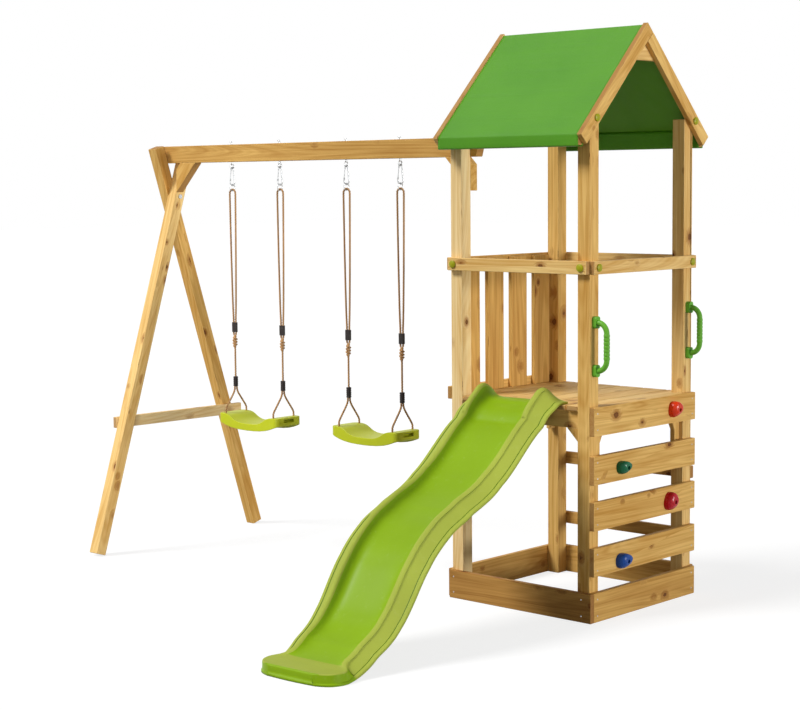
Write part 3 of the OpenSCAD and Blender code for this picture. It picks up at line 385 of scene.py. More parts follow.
def soften(node, width, segments=2):
    """Rounds a node's edges, by modifiers alone."""
    weld = node.modifiers.new("weld", "WELD")
    weld.merge_threshold = WELD_REACH
    flat = node.modifiers.new("flat", "DECIMATE")
    flat.decimate_type = "DISSOLVE"
    flat.angle_limit = FLAT_ANGLE
    bevel = node.modifiers.new("bevel", "BEVEL")
    bevel.width = width
    bevel.segments = segments
    bevel.limit_method = "ANGLE"
    bevel.angle_limit = SHARP_ANGLE
    bevel.use_clamp_overlap = False
    node.modifiers.new("normals", "WEIGHTED_NORMAL").keep_sharp = False


# Plastics, metal, sheet and rope


SCUFF = (0.8, 0.85, 0.6, 1.0)
WEAVE_PITCH = 0.0022
HALF_GLOSS, GLOSS = 0.42, 0.26


def plastic(name, colour, roughness=HALF_GLOSS, grain=900.0, depth=0.00012, sheen=0.24):
    """Moulded plastic: faint clouds of colour, scuffs and a fine moulded grain."""
    material, tree, shader = new_material(name, Specular_IOR_Level=sheen)
    place = place_of(tree)
    cloud = noise(tree, place, 5.0, 3.0)
    deep = tuple(c * 0.86 for c in colour[:3]) + (1.0,)
    pale = tuple(min(1.0, c * 1.08) for c in colour[:3]) + (1.0,)
    shade = tint(tree, cloud, deep, pale)
    scuff = smooth(tree, noise(tree, place, 46.0, 4.0, 0.65), 0.55, 0.8)
    shade = tint(tree, times(tree, scuff, 0.05), shade, SCUFF)
    wire(tree, shade, shader.inputs["Base Color"])
    wire(tree, calc(tree, "MULTIPLY_ADD", scuff, 0.14, roughness), shader.inputs["Roughness"])
    wire(tree, bump(tree, noise(tree, place, grain, 2.0), 0.25, depth), shader.inputs["Normal"])
    return material


def zinc(name):
    """Galvanised steel with faint crystals."""
    material, tree, shader = new_material(name, Metallic=1.0)
    place = place_of(tree)
    crystals = put(tree, "TexVoronoi", {"Vector": place, "Scale": 260.0}).outputs["Color"]
    grey = put(tree, "SeparateColor", {"Color": crystals}).outputs["Red"]
    shade = tint(tree, grey, linear(168, 170, 172), linear(206, 208, 208))
    wire(tree, shade, shader.inputs["Base Color"])
    wire(tree, calc(tree, "MULTIPLY_ADD", grey, 0.16, 0.26), shader.inputs["Roughness"])
    wire(tree, bump(tree, noise(tree, place, 700.0), 0.2, 0.0001), shader.inputs["Normal"])
    return material


def woven_sheet(name):
    """Coated woven sheet: a fine weave under a half-gloss coat, with painted highlights that make it paler
    along its creases.
    """
    material, tree, shader = new_material(name, Specular_IOR_Level=0.16, Coat_Weight=0.08,
                                          Coat_Roughness=0.25)
    place = place_of(tree)
    parts = put(tree, "SeparateXYZ", {0: place}).outputs
    slope = calc(tree, "ADD", parts[1], parts[2])
    warp = calc(tree, "SINE", times(tree, parts[0], 2 * math.pi / WEAVE_PITCH))
    weft = calc(tree, "SINE", times(tree, slope, 2 * math.pi / WEAVE_PITCH))
    weave = times(tree, warp, weft)
    cloud = noise(tree, place, 3.0, 4.0)
    long = pack(tree, times(tree, parts[0], 2.0), times(tree, slope, 22.0), 0.0)
    crease_and_highlight = noise(tree, long, 1.0, 3.0, 0.6)
    shade = tint(tree, cloud, linear(62, 130, 12), linear(88, 154, 26))
    # Painted highlight: the sheet is tinted paler along its creases, where light catches them
    shade = tint(tree, times(tree, crease_and_highlight, 0.25), shade, linear(112, 176, 52))
    shade = tint(tree, calc(tree, "MULTIPLY_ADD", weave, 0.05, 0.05), shade, linear(58, 122, 10))
    wire(tree, shade, shader.inputs["Base Color"])
    wire(tree, calc(tree, "MULTIPLY_ADD", crease_and_highlight, 0.2, 0.36), shader.inputs["Roughness"])
    height = calc(tree, "MULTIPLY_ADD", weave, 0.06, crease_and_highlight)
    wire(tree, bump(tree, height, 0.5, 0.004), shader.inputs["Normal"])
    return material


def laid_fibre(name, dark, light, middle):
    """Rope yarn from its dark, light and middle colours."""
    material, tree, shader = new_material(name, Specular_IOR_Level=0.15, Roughness=0.88,
                                          Sheen_Weight=0.3)
    place = place_of(tree)
    yarn = noise(tree, place, 900.0, 3.0, 0.7)
    fade = noise(tree, place, 22.0, 3.0)
    shade = tint(tree, yarn, dark, light)
    shade = tint(tree, times(tree, fade, 0.4), shade, middle)
    wire(tree, shade, shader.inputs["Base Color"])
    wire(tree, bump(tree, yarn, 0.6, 0.0006), shader.inputs["Normal"])
    return material


# Mesh helpers


def spline(points, step):
    """Points at about one spacing on a smooth curve through the given ones."""
    points = np.array(points, float)
    ends = [2 * points[0] - points[1], *points, 2 * points[-1] - points[-2]]
    found = []
    for a, b, c, d in zip(ends, ends[1:], ends[2:], ends[3:]):
        count = max(1, int(round(np.linalg.norm(c - b) / step)))
        for t in np.arange(count) / count:
            found.append(0.5 * (2 * b + (c - a) * t + (2 * a - 5 * b + 4 * c - d) * t ** 2
                                + (3 * b - a - 3 * c + d) * t ** 3))
    return np.array([*found, points[-1]])


def directions(line):
    """Unit tangents of a line, and two unit vectors across it that turn with it."""
    tangents = np.gradient(line, axis=0)
    tangents /= np.linalg.norm(tangents, axis=1)[:, None]
    across = np.cross(tangents[0], (0.0, 1.0, 0.0) if abs(tangents[0][1]) < 0.9 else (1.0, 0.0, 0.0))
    first = []
    for t in tangents:
        across = across - t * (across @ t)
        across = across / np.linalg.norm(across)
        first.append(across)
    first = np.array(first)
    return tangents, first, np.cross(tangents, first)


def sweep(line, radii):
    """Vertices and faces of a closed tube; radii has a row for each ring."""
    sides = radii.shape[1]
    _, first, second = directions(line)
    angles = np.arange(sides) * 2 * math.pi / sides
    spokes = (np.cos(angles)[None, :, None] * first[:, None, :]
              + np.sin(angles)[None, :, None] * second[:, None, :])
    verts = (line[:, None, :] + radii[:, :, None] * spokes).reshape(-1, 3)
    faces = []
    for i in range(len(line) - 1):
        for k in range(sides):
            n = (k + 1) % sides
            faces.append((i * sides + k, i * sides + n, (i + 1) * sides + n, (i + 1) * sides + k))
    faces.append(tuple(range(sides - 1, -1, -1)))
    faces.append(tuple((len(line) - 1) * sides + k for k in range(sides)))
    return verts, faces


def round_tube(line, radius, sides=16):
    """A plain round tube."""
    return sweep(np.array(line), np.full((len(line), sides), radius))


# Ropes: length of one turn of the strands, sides of the tube, and the gaps' depth and first angle
LAY = 0.036
ROPE_SIDES = 15
GAP_SHARE = 0.62
GAP_FROM = math.radians(44.0)


def strand_angles(line, shift=0.0):
    """For each ring and side of a rope, the angle from the middle of its strand."""
    run = np.concatenate([[0.0], np.cumsum(np.linalg.norm(np.diff(line, axis=0), axis=1))])
    angles = (np.arange(ROPE_SIDES) + shift) * 2 * math.pi / ROPE_SIDES
    turn = angles[None, :] - (run * 2 * math.pi / LAY)[:, None]
    third = 2 * math.pi / 3
    return np.abs((turn + third / 2) % third - third / 2)


def strand_gaps(line):
    """For each face of a rope and its two ends, 1 in the gap between two strands."""
    line = np.array(line)
    middles = strand_angles((line[1:] + line[:-1]) / 2, 0.5)
    return [*(middles > GAP_FROM).astype(int).ravel().tolist(), 0, 0]


def laid_rope(line, radius):
    """A tube of three strands twisted round each other."""
    line = np.array(line)
    off = strand_angles(line)
    half = radius / 2
    radii = half * np.cos(off) + np.sqrt(np.maximum(half ** 2 - (half * np.sin(off)) ** 2, 0.0))
    return sweep(line, np.maximum(radii, GAP_SHARE * radius))


def merged(*meshes):
    """Several vertex and face lists as one."""
    verts, faces, start = [], [], 0
    for v, f in meshes:
        verts.append(np.array(v))
        faces.extend(tuple(i + start for i in face) for face in f)
        start += len(v)
    return np.concatenate(verts), faces


def add_piece(name, mesh, material, body):
    """A new piece of the object, made in place, that rides on a body."""
    verts, faces = mesh
    data = bpy.data.meshes.new(name)
    data.from_pydata([tuple(v) for v in verts], [], faces)
    data.validate()
    data.polygons.foreach_set("use_smooth", [True] * len(data.polygons))
    data.materials.append(material)
    piece = bpy.data.objects.new(name, data)
    bpy.context.scene.collection.objects.link(piece)
    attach(piece, body)
    return piece


# Swings: ropes, knots and carabiners

ROPE_D = 0.010
ROPE_STEP = 0.002
BEAM_Y = (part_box("swing_beam")[0].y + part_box("swing_beam")[1].y) / 2

# Routes in a hanger's own X and Y, with Z above the ground
ROPE_UPPER = [
    (0.008, 0, 1.084), (0.008, 0, 1.120), (0.008, 0, 1.160), (0.012, 0, 1.260), (0.017, 0, 1.500),
    (0.020, 0, 1.740), (0.020, 0, 1.784), (0.017, 0, 1.794), (0.010, 0, 1.801), (0, 0, 1.804),
    (-0.010, 0, 1.801), (-0.017, 0, 1.794), (-0.020, 0, 1.784), (-0.020, 0, 1.740),
    (-0.017, 0, 1.500), (-0.012, 0, 1.260), (-0.008, 0, 1.160), (-0.008, 0, 1.120), (-0.008, 0, 1.084),
]
ROPE_SINGLE = [(0, 0, 1.017), (0, 0, 0.970), (0, 0, 0.923), (0, 0, 0.8763)]
ROPE_LOWER_HALF = [
    (0, 0.007, 0.8267), (0, 0.007, 0.816), (0, 0.010, 0.805), (0, 0.020, 0.787), (0, 0.054, 0.741),
    (0, 0.063, 0.728), (0, 0.067, 0.720), (0, 0.068, 0.712), (0, 0.068, 0.697), (0, 0.068, 0.682),
    (0, 0.0673, 0.6768), (0, 0.0653, 0.672), (0, 0.0621, 0.6679), (0, 0.058, 0.6647),
    (0, 0.0532, 0.6627), (0, 0.048, 0.662),
]
ROPE_LOWER = ROPE_LOWER_HALF + [(x, -y, z) for x, y, z in reversed(ROPE_LOWER_HALF)]
KNOT_LOW, KNOT_TOP = 1.0173, 1.0837
KNOT_MARGIN = 0.006
KNOT_TURNS = 4
KNOT_STEPS = 24
KNOT_R = 0.0085
KNOT_CORE_OUT = 0.003
HANGER_PITCH = 0.340


def hangers():
    """The rope places: swing name, side name and the hanger's X."""
    found = []
    for swing in ("far", "near"):
        low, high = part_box("rope_rings_" + swing)
        half_wire = (high.x - low.x - HANGER_PITCH) / 2
        found.append((swing, "left", low.x + half_wire))
        found.append((swing, "right", high.x - half_wire))
    return found


def knot_line():
    """A rope wrapped round itself, from the loop's strands down to the single rope."""
    count = KNOT_TURNS * KNOT_STEPS
    line = []
    for k in range(count + 1):
        share = k / count
        swell = KNOT_R * min(1.0, 0.45 + 2.2 * min(share, 1 - share))
        angle = 2 * math.pi * KNOT_TURNS * share
        height = KNOT_TOP - KNOT_MARGIN - share * (KNOT_TOP - KNOT_LOW - 2 * KNOT_MARGIN)
        line.append((swell * math.cos(angle), swell * math.sin(angle), height))
    return line


def paint_gap_shade(piece, line, gap_shade_material):
    """Paints shade into the gaps between a rope's strands, with a dark material of their own."""
    gaps = strand_gaps(line)
    piece.data.materials.append(gap_shade_material)
    gaps += [0] * (len(piece.data.polygons) - len(gaps))
    piece.data.polygons.foreach_set("material_index", gaps)


def make_ropes(material, gap_shade_material):
    """The cords of both swings; each hanger has a loop, a single rope and a fork."""
    routes = {"upper": ROPE_UPPER, "single": ROPE_SINGLE, "lower": ROPE_LOWER}
    first = {}
    for swing, side, x in hangers():
        body = "swing_" + swing
        tag = swing + "_" + side

        def placed(points):
            return spline([(x + p[0], BEAM_Y + p[1], p[2]) for p in points], ROPE_STEP)

        wraps = placed(knot_line())
        cores = [placed([(s * KNOT_CORE_OUT, 0, KNOT_TOP), (0, 0, KNOT_LOW)]) for s in (-1, 1)]
        mesh = merged(laid_rope(wraps, ROPE_D / 2), *[round_tube(core, ROPE_D / 2) for core in cores])
        knot = add_piece("rope_knot_" + tag, mesh, material, body)
        paint_gap_shade(knot, wraps, gap_shade_material)
        for key, route in routes.items():
            line = placed(route)
            mesh = laid_rope(line, ROPE_D / 2)
            piece = add_piece("rope_" + key + "_" + tag, mesh, material, body)
            paint_gap_shade(piece, line, gap_shade_material)
            first.setdefault(swing, piece)
    for swing, piece in first.items():
        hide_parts("ropes_" + swing)


# Carabiners: the pear's radii and length, and how far up its side the gate starts, ends and turns
PEAR_TOP_R = 0.008
PEAR_LOW_R = 0.016
PEAR_L = 0.089
PEAR_GATE_LOW = 0.10
PEAR_GATE_TOP = 0.86
PEAR_HINGE = 0.16
ARC_STEPS = 20
WIRE_D = 0.006
WIRE_STEP = 0.002
GATE_W = 0.004
PIN_R = 0.0015
PIN_SIDES = 12
# Cheeks beside the gate: depth, width and length, room to the gate, and drop from the pin
CHEEK = (0.0030, 0.0014, 0.0098)
CHEEK_ROOM = 0.0003
CHEEK_DROP = 0.0019
# Rings of a chamfered block: share of its section and place along it
BLOCK_RINGS = ((0.7, -0.5), (1.0, -0.38), (1.0, 0.38), (0.7, 0.5))
BLOCK_CORNERS = ((-0.5, -0.5), (0.5, -0.5), (0.5, 0.5), (-0.5, 0.5))


def pear_line(x, pivot_z):
    """The carabiner's wire: an open pear that its gate closes."""
    top_z = pivot_z - PEAR_TOP_R
    low_z = pivot_z - PEAR_L + PEAR_LOW_R
    tilt = math.asin((PEAR_LOW_R - PEAR_TOP_R) / (top_z - low_z))

    def side_point(share):
        r = PEAR_LOW_R + share * (PEAR_TOP_R - PEAR_LOW_R)
        return (-r * math.cos(tilt), low_z + share * (top_z - low_z) + r * math.sin(tilt))

    def arc(z, r, start, stop):
        return [(r * math.cos(a), z + r * math.sin(a)) for a in np.linspace(start, stop, ARC_STEPS)]

    outline = [side_point(PEAR_GATE_LOW)]
    outline += arc(low_z, PEAR_LOW_R, math.pi - tilt, 2 * math.pi + tilt)
    outline += arc(top_z, PEAR_TOP_R, tilt, math.pi - tilt)
    outline += [side_point(PEAR_GATE_TOP)]
    return [(x + a, BEAM_Y, z) for a, z in outline]


def block(middle, axes, sizes):
    """A small block with chamfered ends on its own axes."""
    verts, faces = [], []
    for k, (share, end) in enumerate(BLOCK_RINGS):
        for a, b in BLOCK_CORNERS:
            verts.append(middle + axes[0] * (a * share * sizes[0]) + axes[1] * (b * share * sizes[1])
                         + axes[2] * (end * sizes[2]))
        if k:
            low, high = 4 * k - 4, 4 * k
            faces += [(low + n, low + (n + 1) % 4, high + (n + 1) % 4, high + n) for n in range(4)]
    return verts, [*faces, (3, 2, 1, 0), (12, 13, 14, 15)]


def gate_hinge(x, pivot_z):
    """The two cheeks that hold a gate, and the pin between them."""
    line = pear_line(x, pivot_z)
    foot, tip = Vector(line[0]), Vector(line[-1])
    along = (tip - foot).normalized()
    share = (PEAR_HINGE - PEAR_GATE_LOW) / (PEAR_GATE_TOP - PEAR_GATE_LOW)
    hinge = foot + along * (share * (tip - foot).length)
    across = Vector(Y)
    reach = (GATE_W + CHEEK[1]) / 2 + CHEEK_ROOM
    axes = (along.cross(across), across, along)
    cheeks = [block(hinge + across * (s * reach) - along * CHEEK_DROP, axes, CHEEK) for s in (-1, 1)]
    pin = round_tube([hinge + across * (s * reach) for s in (-1, 0, 1)], PIN_R, PIN_SIDES)
    return [*cheeks, pin]


def make_carabiners(material):
    """Smooth wire carabiners with the hinges of their gates."""
    for swing in ("far", "near"):
        pivot_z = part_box("carabiners_" + swing)[1].z - WIRE_D / 2
        places = [x for name, _, x in hangers() if name == swing]
        wires = [round_tube(spline(pear_line(x, pivot_z), WIRE_STEP), WIRE_D / 2) for x in places]
        hinges = [mesh for x in places for mesh in gate_hinge(x, pivot_z)]
        mesh = merged(*wires, *hinges)
        piece = add_piece("carabiner_wires_" + swing, mesh, material, "swing_" + swing)
        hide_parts("carabiners_" + swing)


# Slide: a trough lofted along one wave, turned a little on the deck's edge

SLIDE_W = 0.464
SLIDE_RUN = 1.278
SLIDE_LIP = 0.152
SLIDE_HOOK = 0.045
SLIDE_WALL_H = 0.052
SLIDE_LIP_H = 0.046
SLIDE_SKIN = 0.006
SLIDE_FLANGE_H = 0.010
SLIDE_RECESS = 0.0032
SLIDE_TURN = math.radians(3.0)
SLIDE_SHIFT = SLIDE_W / 2 * math.sin(SLIDE_TURN)
SLIDE_END = SLIDE_RUN + SLIDE_LIP
SLIDE_CORNER = 0.120
SLIDE_CORNER_SHARE = 1.03
SLIDE_CORNER_POWER = 3
SLIDE_FRONT_ROUND = 0.008
SLIDE_RINGS = 150
SLIDE_CORNER_RINGS = 24
SLIDE_FRONT_STEPS = 6
SLIDE_TROUGH_POINTS = 40
SLIDE_TROUGH_STEP = 0.004
SLIDE_SLOPE_STEP = 1 / 120
SLIDE_LIP_CROWN = 0.0004
# The bead along the lip's front: how far it stands out, and where the plain face above it is split
FRONT_BEAD = 0.005
FRONT_SPLIT = 0.6
# Finishes of the slide's faces; the groove faces are darker, which is painted shade for the shadow in the
# panel's grooves
SMOOTH, STIPPLED, SHADED_GROOVE = 0, 1, 2
# Where the finishes change, in points from the ridge outwards: ridge, lip's side, panel's grooves
RIDGE_POINTS = 6
LIP_SIDE = 2
GROOVE_TOP = (5, 7)
GROOVE_LOW = (11, 13)
# Where they change along the run, as shares of it: panel, lip and past the lip
PANEL_FROM, PANEL_TO = 0.012, 1.006
PANEL_END_SHARES = (1.0, 1.003, 1.006)
LIP_FROM, PAST_LIP = 1.0, 2.0

# Lower edge: run and height, as shares of the run and the deck's height
SLIDE_PATH_SHARES = [
    (-0.08, 1), (-0.04, 1), (0, 1), (0.03, 0.985), (0.1035, 0.91), (0.3265, 0.684), (0.4795, 0.584),
    (0.5855, 0.514), (0.6885, 0.392), (0.8155, 0.17), (0.9155, 0.073), (0.98, 0.02), (1.04, 0),
    (1.12, 0), (1.3, 0),
]
# Along the run: wall tops, bed and width
SLIDE_WALL_SHARES = [
    (-0.04, 0.28), (-0.02, 0.85), (0.005, 1.42), (0.025, 1.55), (0.06, 1.3), (0.12, 1), (0.23, 0.9),
    (0.35, 1.02), (0.5, 1.1), (0.62, 1.04), (0.8, 1), (0.92, 0.98), (1.0, 1), (1.06, 0.9),
]
SLIDE_BED_SHARES = [
    (-0.04, 0.18), (0.1, 0.18), (0.75, 0.2), (0.88, 0.4), (0.96, 0.72), (1.03, 1), (1.12, 1),
]
SLIDE_TAPER_SHARES = [(0.5, 1), (0.75, 0.97), (1, 0.87)]
SLIDE_RECESS_SHARES = [(0, 0), (0.03, 1), (1.0, 1), (1.006, 0)]
SLIDE_LIP_SHARES = [(0.985, 0), (1.03, 1)]
# Half section: shares of the half width, of the wall's height over the bed, and of the half
# width on the flat lip
SLIDE_TROUGH_SHARES = [
    (0, 0, 0), (0.26, 0, 0.38), (0.40, 0.02, 0.58), (0.47, 0.08, 0.67), (0.525, 0.2, 0.74),
    (0.565, 0.4, 0.80), (0.594, 0.66, 0.845), (0.615, 0.86, 0.875), (0.638, 0.97, 0.905), (0.662, 1, 0.93),
]
# Outer wall: shares of the half width, of the wall's height over the flange, of the recess, and
# of the half width on the lip
SLIDE_OUTER_SHARES = [
    (0.680, 0.99, 0, 0.943), (0.695, 0.97, 0, 0.952), (0.709, 0.93, 0, 0.958), (0.719, 0.89, 0, 0.962),
    (0.727, 0.85, 0, 0.965), (0.731, 0.83, 0, 0.966), (0.733, 0.82, 0.5, 0.966), (0.737, 0.80, 1, 0.966),
    (0.76, 0.70, 1, 0.967), (0.83, 0.41, 1, 0.968), (0.915, 0.125, 1, 0.969), (0.922, 0.095, 1, 0.969),
    (0.926, 0.08, 0.5, 0.969), (0.929, 0.07, 0, 0.969), (0.94, 0.035, 0, 0.970),
]
SLIDE_EDGE_SHARES = [(0.985, 1.0), (0.996, 0.9), (1.0, 0.7), (1.0, 0.0)]


def path_height(run):
    """Height of the slide's lower edge."""
    p = np.array(SLIDE_PATH_SHARES, float)
    u = run / SLIDE_RUN
    i = int(np.clip(np.searchsorted(p[:, 0], u, side="right") - 1, 1, len(p) - 3))
    t = (u - p[i][0]) / (p[i + 1][0] - p[i][0])
    a, b, c, d = p[i - 1], p[i], p[i + 1], p[i + 2]
    q = 0.5 * (2 * b + (c - a) * t + (2 * a - 5 * b + 4 * c - d) * t ** 2
               + (3 * b - a - 3 * c + d) * t ** 3)
    return DECK_H * max(0.0, q[1])


def table_value(u, shares, spread=0.012):
    """A table's value, softened between its points."""
    xs, ys = zip(*shares)
    return float(np.mean([np.interp(u + k * spread, xs, ys) for k in (-1, -0.5, 0, 0.5, 1)]))


def slide_half(run):
    """Half width, which narrows to the bowed front of the lip."""
    t = max(0.0, run - SLIDE_END + SLIDE_CORNER) / (SLIDE_CORNER * SLIDE_CORNER_SHARE)
    bow = (1 - t ** SLIDE_CORNER_POWER) ** (1 / SLIDE_CORNER_POWER)
    return SLIDE_W / 2 * table_value(run / SLIDE_RUN, SLIDE_TAPER_SHARES) * bow


def evenly(points, count):
    """A line with a set number of points."""
    run = np.concatenate([[0.0], np.cumsum(np.linalg.norm(np.diff(points, axis=0), axis=1))])
    places = np.linspace(0.0, run[-1], count)
    return np.stack([np.interp(places, run, points[:, k]) for k in (0, 1)], axis=1)


def slide_section(run, height_share):
    """Half of one section's upper face, from the middle outwards."""
    u = run / SLIDE_RUN
    half = slide_half(run)
    lip = table_value(u, SLIDE_LIP_SHARES)
    bed = SLIDE_LIP_H * table_value(u, SLIDE_BED_SHARES)
    wall = max(SLIDE_WALL_H * table_value(u, SLIDE_WALL_SHARES), bed + SLIDE_SKIN / 2)
    wall += lip * (bed + SLIDE_LIP_CROWN - wall)
    recess = SLIDE_RECESS * table_value(u, SLIDE_RECESS_SHARES, 0.002)
    flange = SLIDE_FLANGE_H

    def across(body, flat):
        return (body + lip * (flat - body)) * half

    trough = [(across(s, f), bed + h * (wall - bed)) for s, h, f in SLIDE_TROUGH_SHARES]
    trough = evenly(spline(trough, SLIDE_TROUGH_STEP), SLIDE_TROUGH_POINTS)
    outer = [(across(s, f) - r * recess, flange + h * (wall - flange) - 0.5 * r * recess)
             for s, h, r, f in SLIDE_OUTER_SHARES]
    edge = [(s * half, h * flange) for s, h in SLIDE_EDGE_SHARES]
    section = np.concatenate([trough, outer, edge])
    return section * (1.0, height_share)


def slide_ring(run, height_share=1.0):
    """One whole section in the frame."""
    step = SLIDE_END * SLIDE_SLOPE_STEP
    fall = (path_height(run - step) - path_height(run + step)) / (2 * step)
    size = math.hypot(fall, 1.0)
    half = slide_section(run, height_share)
    section = np.concatenate([half[:0:-1] * (-1, 1), half])
    ring = []
    for a, b in section:
        down = -run - fall / size * b
        ring.append(at(-TOWER_L / 2 + a * math.cos(SLIDE_TURN) - down * math.sin(SLIDE_TURN),
                       -SLIDE_SHIFT + a * math.sin(SLIDE_TURN) + down * math.cos(SLIDE_TURN),
                       path_height(run) + b / size))
    return ring


def wall_part(place, u):
    """Which of the slide's finishes a face of its section has."""
    outer = place - SLIDE_TROUGH_POINTS
    in_panel = PANEL_FROM < u < PANEL_TO and GROOVE_TOP[0] <= outer < GROOVE_LOW[1]
    if in_panel and (u > LIP_FROM or outer < GROOVE_TOP[1] or outer >= GROOVE_LOW[0]):
        # Faces along the panel's edges get the dark groove plastic: painted shade for the grooves' shadow
        return SHADED_GROOVE
    if u > PANEL_TO and (outer > LIP_SIDE or u >= PAST_LIP):
        return SMOOTH
    return STIPPLED if outer > -RIDGE_POINTS or u > LIP_FROM else SMOOTH


def slide_runs():
    """Places of the slide's sections along its run, closer together in the lip's corners."""
    straight = SLIDE_END - SLIDE_CORNER
    runs = [-SLIDE_HOOK + (straight + SLIDE_HOOK) * k / SLIDE_RINGS for k in range(SLIDE_RINGS + 1)]
    runs = sorted(runs + [SLIDE_RUN * u for u in PANEL_END_SHARES])
    turn = math.asin((SLIDE_END - FRONT_BEAD - SLIDE_FRONT_ROUND - straight) / SLIDE_CORNER)
    return runs + [straight + SLIDE_CORNER * math.sin(turn * k / SLIDE_CORNER_RINGS)
                   for k in range(1, SLIDE_CORNER_RINGS + 1)]


def slide_front():
    """Sections of the lip's front: its rounded edge, its face and the bead along its foot."""
    face = SLIDE_END - FRONT_BEAD
    rings = []
    for k in range(1, SLIDE_FRONT_STEPS + 1):
        a = k / SLIDE_FRONT_STEPS * math.pi / 2
        drop = SLIDE_FRONT_ROUND * (1 - math.cos(a))
        run = face - SLIDE_FRONT_ROUND * (1 - math.sin(a))
        rings.append(slide_ring(run, 1 - drop / SLIDE_LIP_H))
    last = rings[-1]
    middle = last[len(last) // 2]
    top = max(p.z for p in last)
    widest = max((p - middle).xy.length for p in last if p.z > 0.9 * top)
    reaches = [max(0.0, 1 - ((p - middle).xy.length / widest) ** 2) for p in last]
    ahead = Vector((math.sin(SLIDE_TURN), -math.cos(SLIDE_TURN), 0.0)) * FRONT_BEAD
    bead = SLIDE_FLANGE_H / top
    for share, out in ((FRONT_SPLIT, 0.0), (bead, 0.0), (bead, 0.8), (0.8 * bead, 1.0), (0.0, 1.0)):
        rings.append([Vector((p.x, p.y, p.z * share)) + ahead * (out * reach)
                      for p, reach in zip(last, reaches)])
    return rings


def make_slide(*materials):
    """The slide's skin, with the recessed panels of its walls and the flange along its foot."""
    runs = slide_runs()
    rings = [slide_ring(run) for run in runs] + slide_front()
    count = len(rings[0])
    middle = count // 2
    faces, finishes = [], []
    for i in range(len(rings) - 1):
        u = (runs[i] + runs[i + 1]) / 2 / SLIDE_RUN if i + 1 < len(runs) else PAST_LIP
        for k in range(count - 1):
            a = i * count + k
            faces.append((a, a + count, a + count + 1, a + 1))
            finishes.append(wall_part(k - middle if k >= middle else middle - 1 - k, u))
    mesh = ([p for ring in rings for p in ring], faces)
    piece = add_piece("slide_moulding", mesh, materials[0], "tower")
    for material in materials[1:]:
        piece.data.materials.append(material)
    piece.data.polygons.foreach_set("material_index", finishes)
    weld = piece.modifiers.new("weld", "WELD")
    weld.merge_threshold = WELD_REACH
    skin = piece.modifiers.new("skin", "SOLIDIFY")
    skin.thickness = SLIDE_SKIN
    skin.offset = -1.0
    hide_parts("slide")


# Roof sheet

EAVE_RUN = 0.452
HEM_H = 0.049
HEM_W = 0.0306
TARP_COLUMNS = 60
TARP_SAG = 0.004
TARP_THICK = 0.0014
TARP_STEP = 0.014
TARP_WAVES = 6
FOLD_R = 0.006


def rounded(points, radius, steps=5):
    """A polyline with its inner corners rounded."""
    points = [np.array(p, float) for p in points]
    line = [points[0]]
    for a, b, c in zip(points, points[1:], points[2:]):
        u, v = (a - b) / np.linalg.norm(a - b), (c - b) / np.linalg.norm(c - b)
        reach = min(radius, np.linalg.norm(a - b) / 2, np.linalg.norm(c - b) / 2)
        for t in np.linspace(0, 1, steps):
            line.append((1 - t) ** 2 * (b + u * reach) + 2 * t * (1 - t) * b + t ** 2 * (b + v * reach))
    return np.array([*line, points[-1]])


def resampled(line, step):
    """A polyline with points added so that none are further apart than a step."""
    found = [line[0]]
    for a, b in zip(line, line[1:]):
        count = max(1, math.ceil(np.linalg.norm(b - a) / step))
        found += [a + (b - a) * k / count for k in range(1, count + 1)]
    return np.array(found)


def make_tarp(material):
    """One sheet over the ridge, with a hem sleeve along each eave."""
    (x_low, _, low), (x_high, _, top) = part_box("roof_tarp")
    fall = math.tan(ROOF_PITCH)
    skin = TARP_THICK / math.cos(ROOF_PITCH)
    hem_in = EAVE_RUN - HEM_W
    half = [(EAVE_RUN, top - EAVE_RUN * fall), (EAVE_RUN, low), (hem_in, low),
            (hem_in, top - hem_in * fall - 2 * skin)]
    outline = [(-a, b) for a, b in reversed(half)] + [(0.0, top)] + half
    line = resampled(rounded(outline, FOLD_R), TARP_STEP)
    draw = random.Random(7)
    waves = [(draw.uniform(2, 7), draw.uniform(0, 6.3), draw.uniform(1, 5), draw.uniform(0, 6.3))
             for _ in range(TARP_WAVES)]
    verts = []
    for k in range(TARP_COLUMNS + 1):
        share = k / TARP_COLUMNS
        for a, b in line:
            slope = abs(a) / EAVE_RUN
            free = math.sin(math.pi * min(1.0, slope)) * math.sin(math.pi * share) ** 2
            ripple = sum(math.sin(p * share + q) * math.sin(r * slope * 2 + s) for p, q, r, s in waves)
            ripple /= TARP_WAVES
            sag = free * TARP_SAG * (0.7 + 0.6 * ripple) if b > low + HEM_H else 0.0
            side = math.copysign(1.0, a)
            verts.append((x_low + (x_high - x_low) * share,
                          at(0, RIDGE_Y + a - side * sag * math.sin(ROOF_PITCH), 0).y,
                          b - sag * math.cos(ROOF_PITCH)))
    count = len(line)
    faces = [(i * count + k, i * count + k + 1, (i + 1) * count + k + 1, (i + 1) * count + k)
             for i in range(TARP_COLUMNS) for k in range(count - 1)]
    piece = add_piece("roof_sheet", (verts, faces), material, "tower")
    thick = piece.modifiers.new("thickness", "SOLIDIFY")
    thick.thickness = TARP_THICK
    thick.offset = -1.0
    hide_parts("roof_tarp")


# Small screws that hold the boards

SCREW_R = 0.0034
SCREW_SIDES = 12
# Rings of a head: share of its radius and height over the wood
SCREW_RINGS = ((1.0, -0.0008), (1.0, 0.0002), (0.9, 0.0007), (0.42, 0.0009), (0.36, -0.0006))
# Places: share of the post from the board's end, and shares of the board's height
SCREW_INSET = 0.4
SCREW_HEIGHTS = (0.22, 0.78)


